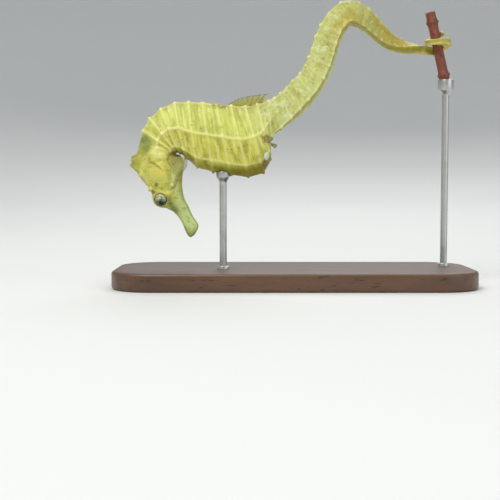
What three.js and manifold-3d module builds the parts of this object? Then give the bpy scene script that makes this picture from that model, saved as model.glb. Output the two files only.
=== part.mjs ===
// A yellow seahorse with its tail round a cut plant stem, held up by a plain display stand.
// Millimetres. The head is at -X, the tail end at +X, the animal's left side faces -Y, and Z is up.

import * as THREE from 'three';
import { mergeVertices } from 'three/addons/utils/BufferGeometryUtils.js';
import Module from 'manifold-3d';

const wasm = await Module();
wasm.setup();

// ---------- Driving dimensions ----------

const CUT = 0.3; // width of the thin cut between two solids that touch
const BODY_PLANE = -4; // Y of the plane that halves the animal from its snout to its tail root

// Side outline: where the back and the belly lie in X and Z, and half the body's width there.
// The first eleven stations are the head, and every station from neckRing on is the crest of a body ring.
const OUTLINE = {
  mouth: { back: [-34.9, 16.3], belly: [-33.0, 17.2], half: 1.1 },
  lips: { back: [-36.1, 18.4], belly: [-31.8, 20.3], half: 1.8 },
  snoutMiddle: { back: [-37.5, 21.7], belly: [-33.7, 23.6], half: 1.7 },
  snoutRoot: { back: [-40.1, 24.9], belly: [-35.1, 26.7], half: 2.1 },
  eyeFront: { back: [-43.4, 26.4], belly: [-36.4, 29.3], half: 3.0 },
  eye: { back: [-46.2, 28.0], belly: [-37.0, 32.0], half: 3.7 },
  brow: { back: [-47.7, 32.0], belly: [-37.2, 35.4], half: 3.9 },
  forehead: { back: [-50.0, 34.8], belly: [-36.8, 38.4], half: 4.3 },
  cheek: { back: [-51.9, 37.6], belly: [-36.5, 41.2], half: 4.5 },
  crown: { back: [-52.6, 40.9], belly: [-37.4, 43.1], half: 4.4 },
  nape: { back: [-52.2, 43.9], belly: [-38.4, 43.8], half: 4.2 },
  neckRing: { back: [-51.2, 47.5], belly: [-39.0, 43.9], half: 4.2 },
  shoulderRing: { back: [-50.1, 51.8], belly: [-39.1, 44.2], half: 4.7 },
  trunk3: { back: [-47.6, 55.5], belly: [-38.7, 44.4], half: 5.4 },
  trunk4: { back: [-43.9, 58.7], belly: [-37.9, 44.2], half: 6.0 },
  trunk5: { back: [-39.4, 60.7], belly: [-35.8, 42.7], half: 6.5 },
  trunk6: { back: [-34.8, 61.0], belly: [-32.1, 39.6], half: 6.9 },
  trunk7: { back: [-30.2, 60.8], belly: [-26.8, 38.2], half: 7.1 },
  trunk8: { back: [-25.6, 60.3], belly: [-21.0, 37.2], half: 7.1 },
  trunk9: { back: [-20.9, 59.8], belly: [-15.2, 36.5], half: 6.9 },
  trunk10: { back: [-16.3, 59.7], belly: [-10.3, 38.0], half: 6.5 },
  trunk11: { back: [-12.4, 60.2], belly: [-7.8, 42.0], half: 5.9 },
  vent: { back: [-8.7, 61.3], belly: [-7.4, 48.5], half: 5.1 },
  tail1: { back: [-6.8, 62.3], belly: [-4.3, 52.0], half: 4.7 },
  tail2: { back: [-4.8, 63.7], belly: [-0.8, 54.7], half: 4.5 },
  tail3: { back: [-2.8, 65.7], belly: [2.5, 57.3], half: 4.4 },
  tail4: { back: [-0.8, 67.8], belly: [5.6, 60.3], half: 4.3 },
};
const STATIONS = Object.keys(OUTLINE);
const station = (name) => STATIONS.indexOf(name);
const FIRST_RING = station('neckRing');
const OUTLINE_END = station('tail4');

// Free tail, from its fourth ring to the stem: centre of the tail and the depth that its left side shows.
const TAIL_WAY = [
  { at: [2.4, -4.0, 64.1], depth: 9.9 },
  { at: [5.3, -4.0, 67.6], depth: 9.4 },
  { at: [8.7, -4.0, 74.2], depth: 9.0 },
  { at: [10.8, -4.2, 81.1], depth: 8.7 },
  { at: [13.6, -4.3, 86.7], depth: 8.3 },
  { at: [17.3, -3.8, 89.8], depth: 8.1 },
  { at: [21.7, -1.8, 89.2], depth: 7.2 },
  { at: [26.9, 1.6, 85.9], depth: 5.8 },
  { at: [31.9, 5.0, 82.4], depth: 4.8 },
  { at: [37.5, 8.2, 80.7], depth: 4.1 },
  { at: [43.3, 10.6, 80.3], depth: 3.6 },
];
const TAIL_FLATNESS = 0.9; // width of the tail over its depth
const TAIL_ROLL = THREE.MathUtils.degToRad(13); // turns the belly of the free tail to the left
const TAIL_JOIN_RINGS = 3; // over which the free tail's sections turn square to it
const TAIL_RINGS = 32; // rings beyond the fourth
const LAST_RING_SHARE = 0.5; // length of the last ring over that of the fifth

// The grip: the tail goes round the stem and climbs it.
const GRIP_TURN = THREE.MathUtils.degToRad(490);
const GRIP_START = THREE.MathUtils.degToRad(110); // measured about the stem, from +X towards +Y
const GRIP_STEPS = 16;
const GRIP_CLIMB = 3.8; // per full turn
const GRIP_DEPTH = 3.3; // where the tail meets the stem
const TAIL_TIP_DEPTH = 1.1;
const TAIL_TIP_BLUNT = 0.35; // scale of the very last section

// The stem that the tail grips.
const STEM_GRIP = new THREE.Vector3(49.4, 8, 79.9); // on its centre line, where the grip begins
const STEM_LEAN = THREE.MathUtils.degToRad(-13); // about Y, top towards the head
const STEM_RADIUS = 1.7;
const STEM_BELOW = 12.4; // length under the grip's start
const STEM_ABOVE = 12.6;
const STEM_JOINTS = [3.4, 21.6]; // heights of the leaf joints above the lower cut
const STEM_JOINT_SWELL = 0.5;

// Sections of the body: five corners from the mid-line of the back to that of the belly.
// Each corner is [to the side, upwards] as a share of half the width and half the depth.
const ROUND = [[0, 1], [0.5, 0.866], [1, 0], [0.707, -0.707], [0, -1]];
const TRUNK = [[0, 0.93], [0.4, 0.99], [1, 0.05], [0.7, -0.68], [0, -1]];
const TAIL = [[0, 0.86], [0.84, 0.99], [0.9, 0], [0.84, -0.99], [0, -0.86]];
const ROUND_BULGE = [0.035, 0.155, 0.082, 0.082]; // how far the middle of each side swells
const TRUNK_BULGE = [0.01, 0.11, 0.05, 0.07];
const TAIL_BULGE = [-0.01, -0.02, -0.02, -0.01];
const HEAD_MESH = { steps: [3, 4, 4, 3], perStation: 4 }; // faces from corner to corner, and sections
const SNOUT_MESH = { steps: [3, 4, 4, 3], perStation: 2 };
const BODY_MESH = { steps: [2, 3, 3, 2], perStation: 2 };

// Rings: how far the skin sinks between two crests, and the height of the small spines on a crest.
const TRUNK_DIP = 0.015;
const TAIL_DIP = 0.035;
const TRUNK_SPINE = { back: 0.3, side: 0.35, belly: 0.35 };
const TAIL_SPINE = { back: 0.35, side: 0, belly: 0.25 };

// Head: domes raised on both sides, as [x, z, radius, height].
const EYE_RADIUS = 2.25;
const EYE_PLACE = [-43.9, 29.2];
const EYE_OFFSET = 2.8; // from the body plane to the centre of an eye
const EYE_TURRET = [-43.9, 29.2, 3.6, 1.35];
const GILL_COVER = [-43.0, 36.6, 4.9, 0.75];
const HEAD_SPINES = [
  { at: [-47.3, 0.62, 32.0], lean: [-0.8, 0.55, 0.25], size: 1.1 }, // over the eye
  { at: [-40.2, 0.92, 33.6], lean: [0.1, 0.95, -0.3], size: 0.8 }, // on the cheek
  { at: [-51.2, 0.4, 37.2], lean: [-0.9, 0.4, 0.1], size: 0.8 }, // in front of the coronet
];

// Coronet: a low crown with five points.
const CORONET_FOOT = new THREE.Vector3(-51.3, BODY_PLANE, 41.0);
const CORONET_LEAN = THREE.MathUtils.degToRad(-78); // about Y, from straight up towards the front
const CORONET_RADIUS = 2.2;
const CORONET_HEIGHT = 2.6;
const CORONET_POINTS = 5;

// Fins
const FIN_THICKNESS = 0.6;
const DORSAL_ROOT = [[-22.2, 59.9], [-10.2, 60.6]];
const DORSAL_EDGE = [[-19.6, 61.8], [-16.3, 62.8], [-12.0, 63.5], [-7.6, 63.9]];
const DORSAL_NOTCH = [-10.4, 61.9];
const ANAL_FIN = { root: [-8.4, 47.6], length: 2.8, width: 1.6, lean: -25 };
const PECTORAL = { root: [-41.6, 42.2], offset: 3.5, length: 6.6, spread: 56, turn: -24, flare: 24 };

// Stand
const BASE_LENGTH = 120;
const BASE_WIDTH = 48;
const BASE_HEIGHT = 6;
const BASE_CORNER = 14;
const BASE_BEVEL = 0.9;
const ROD_RADIUS = 1.2;
const ROD_SINK = 3.5; // how deep a rod stands in the base
const BODY_ROD_X = -23.6;
const SADDLE_RADIUS = 2.3;
const SADDLE_TOP = 39.6; // above the belly, so that the saddle takes the belly's shape
const CUP_RADIUS = 2.7;
const CUP_HEIGHT = 3.6;

const COLOURS = {
  trunk: 0xd2d066,
  head: 0xc2c25c,
  snout: 0xbfd08a,
  tail: 0xbcc47c,
  coronet: 0x94a23c,
  fin: 0x9aa06a,
  eye: 0x2c3424,
  stem: 0x7a3a2a,
  base: 0x3a2a1e,
  rod: 0xa8a8a4,
};

// ---------- General helpers ----------

const finish = (color, roughness, metalness) =>
  new THREE.MeshStandardMaterial({ color, roughness, metalness });
const skinFinish = (colour) => finish(colour, 0.5, 0);
const glossFinish = (colour) => finish(colour, 0.1, 0);
const metalFinish = (colour) => finish(colour, 0.3, 1);

function named(name, geometry, material) {
  const mesh = new THREE.Mesh(geometry, material);
  mesh.name = name;
  return mesh;
}

function toSolid(geometry) {
  const bare = geometry.clone();
  bare.deleteAttribute('normal');
  bare.deleteAttribute('uv');
  const merged = mergeVertices(bare, 1e-4);
  const vertProperties = new Float32Array(merged.attributes.position.array);
  const triVerts = new Uint32Array(merged.index.array);
  return new wasm.Manifold(new wasm.Mesh({ numProp: 3, vertProperties, triVerts }));
}

function toGeometry(solid) {
  const mesh = solid.getMesh();
  const geometry = new THREE.BufferGeometry();
  geometry.setAttribute('position', new THREE.BufferAttribute(new Float32Array(mesh.vertProperties), 3));
  geometry.setIndex(Array.from(mesh.triVerts));
  return geometry;
}

function cutFrom(geometry, ...tools) {
  return toGeometry(tools.reduce((solid, tool) => solid.subtract(toSolid(tool)), toSolid(geometry)));
}

// Skins a row of rings that all have the same number of points, and closes both ends with a fan.
function loft(rings) {
  const count = rings[0].length;
  const points = rings.flat();
  const ends = [rings[0], rings.at(-1)].map((ring) => middleOf(ring));
  const faces = [];
  for (let r = 0; r < rings.length - 1; r += 1) {
    for (let k = 0; k < count; k += 1) {
      const here = r * count + k;
      const beside = r * count + ((k + 1) % count);
      faces.push(here, here + count, beside + count);
      faces.push(here, beside + count, beside);
    }
  }
  const first = points.length;
  const lastRing = (rings.length - 1) * count;
  for (let k = 0; k < count; k += 1) {
    const next = (k + 1) % count;
    faces.push(first, k, next);
    faces.push(first + 1, lastRing + next, lastRing + k);
  }
  const geometry = new THREE.BufferGeometry().setFromPoints([...points, ...ends]);
  geometry.setIndex(faces);
  return geometry;
}

function middleOf(points) {
  const sum = points.reduce((total, point) => total.add(point), new THREE.Vector3());
  return sum.divideScalar(points.length);
}

const smooth = (value, from, to) => THREE.MathUtils.smoothstep(value, from, to);
const mix = THREE.MathUtils.lerp;

// ---------- The animal's sections ----------

const inBodyPlane = ([x, z]) => new THREE.Vector3(x, BODY_PLANE, z);
const curveThrough = (points) => new THREE.CatmullRomCurve3(points, false, 'centripetal');

const rows = Object.values(OUTLINE);
const backRail = curveThrough(rows.map((row) => inBodyPlane(row.back)));
const bellyRail = curveThrough(rows.map((row) => inBodyPlane(row.belly)));
const widthRail = curveThrough(rows.map((row, index) => new THREE.Vector3(index, row.half, 0)));

const stemAxis = new THREE.Vector3(0, 0, 1).applyAxisAngle(new THREE.Vector3(0, 1, 0), STEM_LEAN);
const stemAcross = new THREE.Vector3(1, 0, 0).applyAxisAngle(new THREE.Vector3(0, 1, 0), STEM_LEAN);
const stemBack = new THREE.Vector3(0, 1, 0);

// A place on the grip: share runs from 0, where the tail meets the stem, to 1 at its tip.
function gripStation(share) {
  const angle = GRIP_START - share * GRIP_TURN;
  const depth = mix(GRIP_DEPTH, TAIL_TIP_DEPTH, share);
  const reach = STEM_RADIUS + CUT + depth / 2;
  const centre = STEM_GRIP.clone()
    .addScaledVector(stemAxis, (GRIP_CLIMB * share * GRIP_TURN) / (2 * Math.PI))
    .addScaledVector(stemAcross, reach * Math.cos(angle))
    .addScaledVector(stemBack, reach * Math.sin(angle));
  return { centre, depth };
}

const freeTail = TAIL_WAY.map(({ at, depth }) => ({ centre: new THREE.Vector3(...at), depth }));
const grip = Array.from({ length: GRIP_STEPS + 1 }, (_, step) => gripStation(step / GRIP_STEPS));
const tailWay = [...freeTail, ...grip];
const tailCurve = curveThrough(tailWay.map((place) => place.centre));
tailCurve.arcLengthDivisions = 800;
const tailDepth = curveThrough(tailWay.map((place, index) => new THREE.Vector3(index, place.depth, 0)));
const GRIP_FROM = (freeTail.length - 5) / (tailWay.length - 1); // where the belly starts to turn to the stem
const GRIP_WHOLE = (freeTail.length + 2) / (tailWay.length - 1);

// How much deeper a rolled square section looks from the side than it is.
function rollSwell(roll) {
  return Math.cos(roll) + TAIL_FLATNESS * Math.abs(Math.sin(roll));
}

// Share of the tail's length that lies before a ring: rings shorten evenly towards the tip.
function ringShare(ring) {
  const share = ring / TAIL_RINGS;
  return (share - ((1 - LAST_RING_SHARE) * share * share) / 2) / (1 - (1 - LAST_RING_SHARE) / 2);
}

// A place along the animal: up to OUTLINE_END it counts stations, and beyond that it counts tail rings.
function sectionAt(place) {
  return place <= OUTLINE_END ? outlineSection(place) : tailSection(place - OUTLINE_END);
}

function outlineSection(place) {
  const share = place / OUTLINE_END;
  const back = backRail.getPoint(share);
  const belly = bellyRail.getPoint(share);
  const level = back.clone().sub(belly).normalize();
  const along = level.clone().cross(stemBack);
  const roll = TAIL_ROLL * smooth(place, station('vent'), OUTLINE_END);
  return {
    centre: back.clone().add(belly).multiplyScalar(0.5),
    up: level.applyAxisAngle(along, roll),
    side: stemBack.clone().applyAxisAngle(along, roll),
    halfDepth: back.distanceTo(belly) / 2 / rollSwell(roll),
    halfWidth: widthRail.getPoint(share).y,
    trunk: smooth(place, station('crown'), station('trunk4')),
    tail: smooth(place, station('trunk10'), station('tail2')),
    crest: place < FIRST_RING ? 0 : crestness(place),
    fade: smooth(place, FIRST_RING, station('trunk4')),
  };
}

function tailSection(ring) {
  const length = ringShare(Math.min(ring, TAIL_RINGS));
  const share = tailCurve.getUtoTmapping(length);
  const centre = tailCurve.getPoint(share);
  const along = tailCurve.getTangent(share);
  const level = along.clone().cross(stemBack).normalize().applyAxisAngle(along, -TAIL_ROLL);
  const fromStem = centre.clone().sub(STEM_GRIP).projectOnPlane(stemAxis).projectOnPlane(along).normalize();
  const gripped = smooth(share, GRIP_FROM, GRIP_WHOLE);
  const square = level.lerp(fromStem, gripped).projectOnPlane(along).normalize();
  const joint = outlineSection(OUTLINE_END).up;
  const up = joint.lerp(square, smooth(ring, 0, TAIL_JOIN_RINGS)).normalize();
  const blunt = ring >= TAIL_RINGS ? TAIL_TIP_BLUNT : 1;
  const depth = (tailDepth.getPoint(share).y * blunt) / mix(rollSwell(TAIL_ROLL), 1, gripped);
  return {
    centre,
    up,
    side: up.clone().cross(along).normalize(),
    halfDepth: depth / 2,
    halfWidth: (depth * TAIL_FLATNESS) / 2,
    trunk: 0,
    tail: 1,
    crest: crestness(ring),
    fade: depth / freeTail[0].depth,
  };
}

// 1 on the crest of a ring, 0 half-way to the next.
function crestness(place) {
  return Math.abs(1 - 2 * (place - Math.floor(place)));
}

// Corner and swelling of a section's outline, blended from round through trunk to tail.
function blendShape(section, round, trunk, tail) {
  return mix(mix(round, trunk, section.trunk), tail, section.tail);
}

function corner(section, index) {
  return [0, 1].map((axis) => blendShape(section, ROUND[index][axis], TRUNK[index][axis], TAIL[index][axis]));
}

function spineHeight(section, index) {
  const row = ['none', 'back', 'side', 'belly', 'none'][index];
  const height = mix(TRUNK_SPINE[row] ?? 0, TAIL_SPINE[row] ?? 0, section.tail);
  return height * section.fade * section.crest;
}

// Half an outline from the back to the belly, as [to the side, upwards, extra height] triples.
function halfOutline(section, steps) {
  const valley = (1 - section.crest) * Math.min(1, section.fade * 2);
  const dip = 1 - mix(TRUNK_DIP, TAIL_DIP, section.tail) * valley;
  const outline = [];
  steps.forEach((count, index) => {
    const from = corner(section, index);
    const to = corner(section, index + 1);
    const bulge = blendShape(section, ROUND_BULGE[index], TRUNK_BULGE[index], TAIL_BULGE[index]);
    for (let step = 0; step < count; step += 1) {
      const share = step / count;
      const swell = dip * (1 + bulge * 4 * share * (1 - share));
      const spine = step === 0 ? spineHeight(section, index) : 0;
      outline.push([mix(from[0], to[0], share) * swell, mix(from[1], to[1], share) * swell, spine]);
    }
  });
  const end = corner(section, steps.length);
  outline.push([end[0] * dip, end[1] * dip, 0]);
  return outline;
}

// A dome rises steeply at its rim, fades towards the mid-line and never moves it.
function domeHeight(point, offset, [x, z, radius, height]) {
  const distance = Math.hypot(point.x - x, point.z - z) / radius;
  const facing = smooth(Math.abs(offset), 0.05, 0.5);
  return distance < 1 ? height * facing * (1 - distance ** 2) ** 0.7 : 0;
}

function ringOf(section, steps, grow = 0, domes = []) {
  const half = halfOutline(section, steps);
  const mirrored = half.slice(1, -1).reverse().map(([side, up, spine]) => [-side, up, spine]);
  return [...half, ...mirrored].map(([side, up, spine]) => {
    const reach = new THREE.Vector2(side, up).normalize().multiplyScalar(grow + spine);
    const point = section.centre.clone()
      .addScaledVector(section.side, side * section.halfWidth + reach.x)
      .addScaledVector(section.up, up * section.halfDepth + reach.y);
    const rise = domes.reduce((sum, dome) => sum + domeHeight(point, side, dome), 0);
    return point.addScaledVector(section.side, rise * Math.sign(side));
  });
}

// Places of the sections of one length of the animal, with half a cut left at each end.
function placesBetween(from, to, perStation) {
  const pace = (place) => {
    const step = 0.05;
    return sectionAt(place + step).centre.distanceTo(sectionAt(place - step).centre) / (2 * step);
  };
  const start = from === 0 ? 0 : from + CUT / 2 / pace(from);
  const end = to === OUTLINE_END + TAIL_RINGS ? to : to - CUT / 2 / pace(to);
  const places = [start];
  for (let count = Math.floor(from * perStation) + 1; count < to * perStation; count += 1) {
    places.push(count / perStation);
  }
  return [...places, end];
}

function bodyLength(from, to, mesh = BODY_MESH, grow = 0, domes = []) {
  const places = placesBetween(from, to, mesh.perStation);
  return loft(places.map((place) => ringOf(sectionAt(place), mesh.steps, grow, domes)));
}

// ---------- Head ----------

const SNOUT_END = station('snoutRoot') + 0.5;
const HEAD_END = station('nape') + 0.25;

function spineCone(at, lean, size) {
  const cone = new THREE.ConeGeometry(size * 0.55, size * 1.7, 6);
  const turn = new THREE.Quaternion().setFromUnitVectors(new THREE.Vector3(0, 1, 0), lean.normalize());
  cone.applyQuaternion(turn);
  return cone.translate(at.x, at.y, at.z);
}

function eyeBall(side, radius) {
  const ball = new THREE.SphereGeometry(radius, 16, 10);
  return ball.translate(EYE_PLACE[0], BODY_PLANE + side * EYE_OFFSET, EYE_PLACE[1]);
}

function headSpines(side) {
  return HEAD_SPINES.map(({ at, lean, size }) => {
    const section = sectionAt(nearestStation(at[0], at[2]));
    const foot = new THREE.Vector3(at[0], BODY_PLANE + side * at[1] * section.halfWidth, at[2]);
    return spineCone(foot, new THREE.Vector3(lean[0], side * lean[1], lean[2]), size);
  });
}

function nearestStation(x, z) {
  const target = inBodyPlane([x, z]);
  const away = (place) => sectionAt(place).centre.distanceTo(target);
  return rows.reduce((best, _, place) => (away(place) < away(best) ? place : best), 0);
}

function headGeometry(grow = 0) {
  return bodyLength(SNOUT_END, HEAD_END, HEAD_MESH, grow, [EYE_TURRET, GILL_COVER]);
}

function head() {
  const spines = [-1, 1].flatMap(headSpines);
  const whole = spines.reduce((solid, cone) => solid.add(toSolid(cone)), toSolid(headGeometry()));
  const sockets = [-1, 1].map((side) => toSolid(eyeBall(side, EYE_RADIUS + CUT)));
  const carved = sockets.reduce((solid, socket) => solid.subtract(socket), whole);
  return named('head', toGeometry(carved), skinFinish(COLOURS.head));
}

function snout() {
  return named('snout', bodyLength(0, SNOUT_END, SNOUT_MESH), skinFinish(COLOURS.snout));
}

function eye(name, side) {
  return named(name, eyeBall(side, EYE_RADIUS), glossFinish(COLOURS.eye));
}

// One level of the crown: a star with a lobe for each point, lifted at the lobes.
function coronetRing(height, radius, lobe, lift) {
  const corners = CORONET_POINTS * 4;
  return Array.from({ length: corners }, (_, k) => {
    const angle = (2 * Math.PI * k) / corners;
    const wave = Math.cos(CORONET_POINTS * angle);
    const reach = radius * (1 + lobe * wave);
    const top = height + lift * Math.max(0, wave);
    return new THREE.Vector3(reach * Math.cos(angle), reach * Math.sin(angle), top);
  });
}

function coronet() {
  const rings = [
    coronetRing(CORONET_HEIGHT * 0.72, CORONET_RADIUS * 0.25, 0, 0),
    coronetRing(CORONET_HEIGHT * 0.78, CORONET_RADIUS * 0.64, 0.16, CORONET_HEIGHT * 0.3),
    coronetRing(CORONET_HEIGHT * 0.62, CORONET_RADIUS * 0.76, 0.18, CORONET_HEIGHT * 0.16),
    coronetRing(CORONET_HEIGHT * 0.25, CORONET_RADIUS * 0.86, 0.08, 0),
    coronetRing(-CORONET_HEIGHT * 0.2, CORONET_RADIUS * 1.15, 0, 0),
    coronetRing(-CORONET_HEIGHT * 0.6, CORONET_RADIUS * 1.2, 0, 0),
  ];
  const crown = loft(rings);
  crown.rotateY(CORONET_LEAN);
  crown.translate(CORONET_FOOT.x, CORONET_FOOT.y, CORONET_FOOT.z);
  return named('coronet', cutFrom(crown, headGeometry(CUT)), skinFinish(COLOURS.coronet));
}

// ---------- Trunk and tail ----------

const NECK_END = station('trunk4') + 0.5;
const TRUNK_MIDDLE = station('trunk8');
const TRUNK_END = station('vent') + 0.5;
const TAIL_CUTS = [TRUNK_END, OUTLINE_END + 2, ...[7, 12, 17, 22, 27, 32].map((ring) => OUTLINE_END + ring)];

function trunkParts() {
  return [
    named('neck', bodyLength(HEAD_END, NECK_END), skinFinish(COLOURS.trunk)),
    named('trunk_front', bodyLength(NECK_END, TRUNK_MIDDLE), skinFinish(COLOURS.trunk)),
    named('trunk_rear', bodyLength(TRUNK_MIDDLE, TRUNK_END), skinFinish(COLOURS.trunk)),
  ];
}

function tailParts() {
  return TAIL_CUTS.slice(1).map((end, index) => {
    const length = bodyLength(TAIL_CUTS[index], end);
    return named(`tail_${index + 1}`, length, skinFinish(COLOURS.tail));
  });
}

// ---------- Fins ----------

// A flat fin cut from its outline in X and Z, halved by the body plane.
function finPlate(outline) {
  const sheet = { depth: FIN_THICKNESS, bevelEnabled: false, curveSegments: 6 };
  const plate = new THREE.ExtrudeGeometry(outline, sheet);
  plate.translate(0, 0, -FIN_THICKNESS / 2);
  return plate.rotateX(Math.PI / 2);
}

// A rounded fan that opens from its root: spread in degrees, root at the origin, pointing along +X.
function fanOutline(length, spread) {
  const half = THREE.MathUtils.degToRad(spread / 2);
  const outline = new THREE.Shape();
  outline.moveTo(0, -length * 0.16);
  outline.lineTo(length * Math.cos(half), -length * Math.sin(half));
  outline.absarc(0, 0, length, -half, half, false);
  outline.lineTo(0, length * 0.16);
  outline.closePath();
  return outline;
}

function dorsalFin() {
  const [front, rear] = DORSAL_ROOT;
  const sunk = 2; // the root starts inside the back and is cut to it
  const outline = new THREE.Shape();
  outline.moveTo(front[0], front[1] - sunk);
  outline.lineTo(front[0], front[1]);
  outline.splineThru(DORSAL_EDGE.map(([x, z]) => new THREE.Vector2(x, z)));
  outline.lineTo(...DORSAL_NOTCH);
  outline.lineTo(...rear);
  outline.lineTo(rear[0], rear[1] - sunk);
  outline.closePath();
  const back = bodyLength(TRUNK_MIDDLE, OUTLINE_END, BODY_MESH, CUT);
  const plate = finPlate(outline).translate(0, BODY_PLANE, 0);
  return named('dorsal_fin', cutFrom(plate, back), skinFinish(COLOURS.fin));
}

function analFin() {
  const { root, length, width, lean } = ANAL_FIN;
  const plate = finPlate(fanOutline(length, (width / length) * 60));
  plate.rotateY(THREE.MathUtils.degToRad(-lean));
  plate.translate(root[0], BODY_PLANE, root[1]);
  const belly = bodyLength(TRUNK_MIDDLE, OUTLINE_END, BODY_MESH, CUT);
  return named('anal_fin', cutFrom(plate, belly), skinFinish(COLOURS.fin));
}

function pectoralFin(name, side) {
  const { root, offset, length, spread, turn, flare } = PECTORAL;
  const plate = finPlate(fanOutline(length, spread));
  plate.rotateZ(side * THREE.MathUtils.degToRad(flare));
  plate.rotateY(-THREE.MathUtils.degToRad(turn));
  plate.translate(root[0], BODY_PLANE + side * offset, root[1]);
  const neck = bodyLength(station('cheek'), NECK_END, BODY_MESH, CUT);
  return named(name, cutFrom(plate, neck, headGeometry(CUT)), skinFinish(COLOURS.fin));
}

// ---------- Perch ----------

// A round stem with a slight swelling at each leaf joint, cut square at both ends.
function stemGeometry(grow = 0) {
  const length = STEM_BELOW + STEM_ABOVE;
  const profile = [new THREE.Vector2(0, 0), new THREE.Vector2(STEM_RADIUS + grow, 0)];
  STEM_JOINTS.forEach((height) => {
    profile.push(new THREE.Vector2(STEM_RADIUS + grow, height - 1.6));
    profile.push(new THREE.Vector2(STEM_RADIUS + STEM_JOINT_SWELL + grow, height - 0.3));
    profile.push(new THREE.Vector2(STEM_RADIUS + STEM_JOINT_SWELL + grow, height + 0.3));
    profile.push(new THREE.Vector2(STEM_RADIUS + grow, height + 1.2));
  });
  profile.push(new THREE.Vector2(STEM_RADIUS + grow, length), new THREE.Vector2(0, length));
  const stem = new THREE.LatheGeometry(profile, 14);
  stem.rotateX(Math.PI / 2);
  stem.translate(0, 0, -STEM_BELOW);
  stem.rotateY(STEM_LEAN);
  return stem.translate(STEM_GRIP.x, STEM_GRIP.y, STEM_GRIP.z);
}

// ---------- Stand ----------

function standingLathe(profile, x, y) {
  const turned = new THREE.LatheGeometry(profile.map(([r, z]) => new THREE.Vector2(r, z)), 16);
  return turned.rotateX(Math.PI / 2).translate(x, y, 0);
}

const stemFoot = STEM_GRIP.clone().addScaledVector(stemAxis, -STEM_BELOW);
const RODS = {
  body: { x: BODY_ROD_X, y: BODY_PLANE },
  perch: { x: stemFoot.x, y: stemFoot.y },
};

function standBase() {
  const outline = new THREE.Shape();
  const x = BASE_LENGTH / 2 - BASE_BEVEL;
  const y = BASE_WIDTH / 2 - BASE_BEVEL;
  const corners = [[x, y, 0], [-x, y, 90], [-x, -y, 180], [x, -y, 270]];
  corners.forEach(([cornerX, cornerY, start]) => {
    const from = THREE.MathUtils.degToRad(start);
    const centreX = cornerX - Math.sign(cornerX) * BASE_CORNER;
    const centreY = cornerY - Math.sign(cornerY) * BASE_CORNER;
    outline.absarc(centreX, centreY, BASE_CORNER, from, from + Math.PI / 2, false);
  });
  const plate = new THREE.ExtrudeGeometry(outline, {
    depth: BASE_HEIGHT - 2 * BASE_BEVEL,
    bevelThickness: BASE_BEVEL,
    bevelSize: BASE_BEVEL,
    bevelSegments: 1,
    curveSegments: 6,
  });
  plate.translate(0, 0, BASE_BEVEL);
  const floor = BASE_HEIGHT - ROD_SINK - CUT;
  const mouth = BASE_HEIGHT + 1; // the bore's tool stands proud of the base
  const boreRadius = ROD_RADIUS + CUT;
  const bore = [[0, floor], [boreRadius, floor], [boreRadius, mouth], [0, mouth]];
  const bores = Object.values(RODS).map((rod) => standingLathe(bore, rod.x, rod.y));
  return named('stand_base', cutFrom(plate, ...bores), skinFinish(COLOURS.base));
}

function bodyRod() {
  const foot = BASE_HEIGHT - ROD_SINK;
  const profile = [
    [0, foot],
    [ROD_RADIUS, foot],
    [ROD_RADIUS, SADDLE_TOP - 5],
    [SADDLE_RADIUS, SADDLE_TOP - 3],
    [SADDLE_RADIUS, SADDLE_TOP],
    [0, SADDLE_TOP],
  ];
  const belly = bodyLength(station('trunk5'), station('trunk11'), BODY_MESH, CUT);
  const rod = standingLathe(profile, RODS.body.x, RODS.body.y);
  return named('stand_rod_body', cutFrom(rod, belly), metalFinish(COLOURS.rod));
}

function perchRod() {
  const foot = BASE_HEIGHT - ROD_SINK;
  const top = stemFoot.z + CUP_HEIGHT / 2;
  const profile = [
    [0, foot],
    [ROD_RADIUS, foot],
    [ROD_RADIUS, top - CUP_HEIGHT - 1.6],
    [CUP_RADIUS, top - CUP_HEIGHT],
    [CUP_RADIUS, top],
    [0, top],
  ];
  const rod = standingLathe(profile, RODS.perch.x, RODS.perch.y);
  return named('stand_rod_perch', cutFrom(rod, stemGeometry(CUT)), metalFinish(COLOURS.rod));
}

// ---------- The whole ----------

const seahorse = new THREE.Group();
seahorse.add(snout(), head(), coronet(), eye('eye_left', -1), eye('eye_right', 1));
seahorse.add(...trunkParts(), ...tailParts());
seahorse.add(dorsalFin(), analFin());
seahorse.add(pectoralFin('pectoral_fin_left', -1), pectoralFin('pectoral_fin_right', 1));

const display = new THREE.Group();
display.add(seahorse, named('perch_stem', stemGeometry(), skinFinish(COLOURS.stem)));
display.add(standBase(), bodyRod(), perchRod());

export default display;
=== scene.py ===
"""A yellow seahorse gripping a cut stem on a plain display stand: its looks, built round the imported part.

The body is one continuous skin. The eyes, fins, perch and stand are pieces of their own.
Shapes are worked out in millimetres in the part's own frame, and meshes are made in metres.
"""

from __future__ import annotations

import logging
import math
from dataclasses import dataclass
from enum import Enum

import bpy
import numpy as np
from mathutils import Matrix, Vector
from mathutils.bvhtree import BVHTree


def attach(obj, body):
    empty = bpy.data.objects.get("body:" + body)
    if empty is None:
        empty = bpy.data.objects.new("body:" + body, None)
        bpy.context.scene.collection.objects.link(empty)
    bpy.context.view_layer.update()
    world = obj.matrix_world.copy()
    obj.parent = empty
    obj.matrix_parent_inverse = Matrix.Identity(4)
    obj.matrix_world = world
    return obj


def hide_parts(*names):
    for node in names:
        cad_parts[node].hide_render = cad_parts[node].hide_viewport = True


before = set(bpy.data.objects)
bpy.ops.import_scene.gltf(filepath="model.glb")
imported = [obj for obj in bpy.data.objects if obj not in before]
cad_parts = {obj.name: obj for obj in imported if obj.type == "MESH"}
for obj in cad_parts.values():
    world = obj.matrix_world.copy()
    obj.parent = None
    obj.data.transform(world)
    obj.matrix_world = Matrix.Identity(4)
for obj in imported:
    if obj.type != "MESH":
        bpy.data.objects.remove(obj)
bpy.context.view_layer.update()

MM = 0.001
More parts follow.
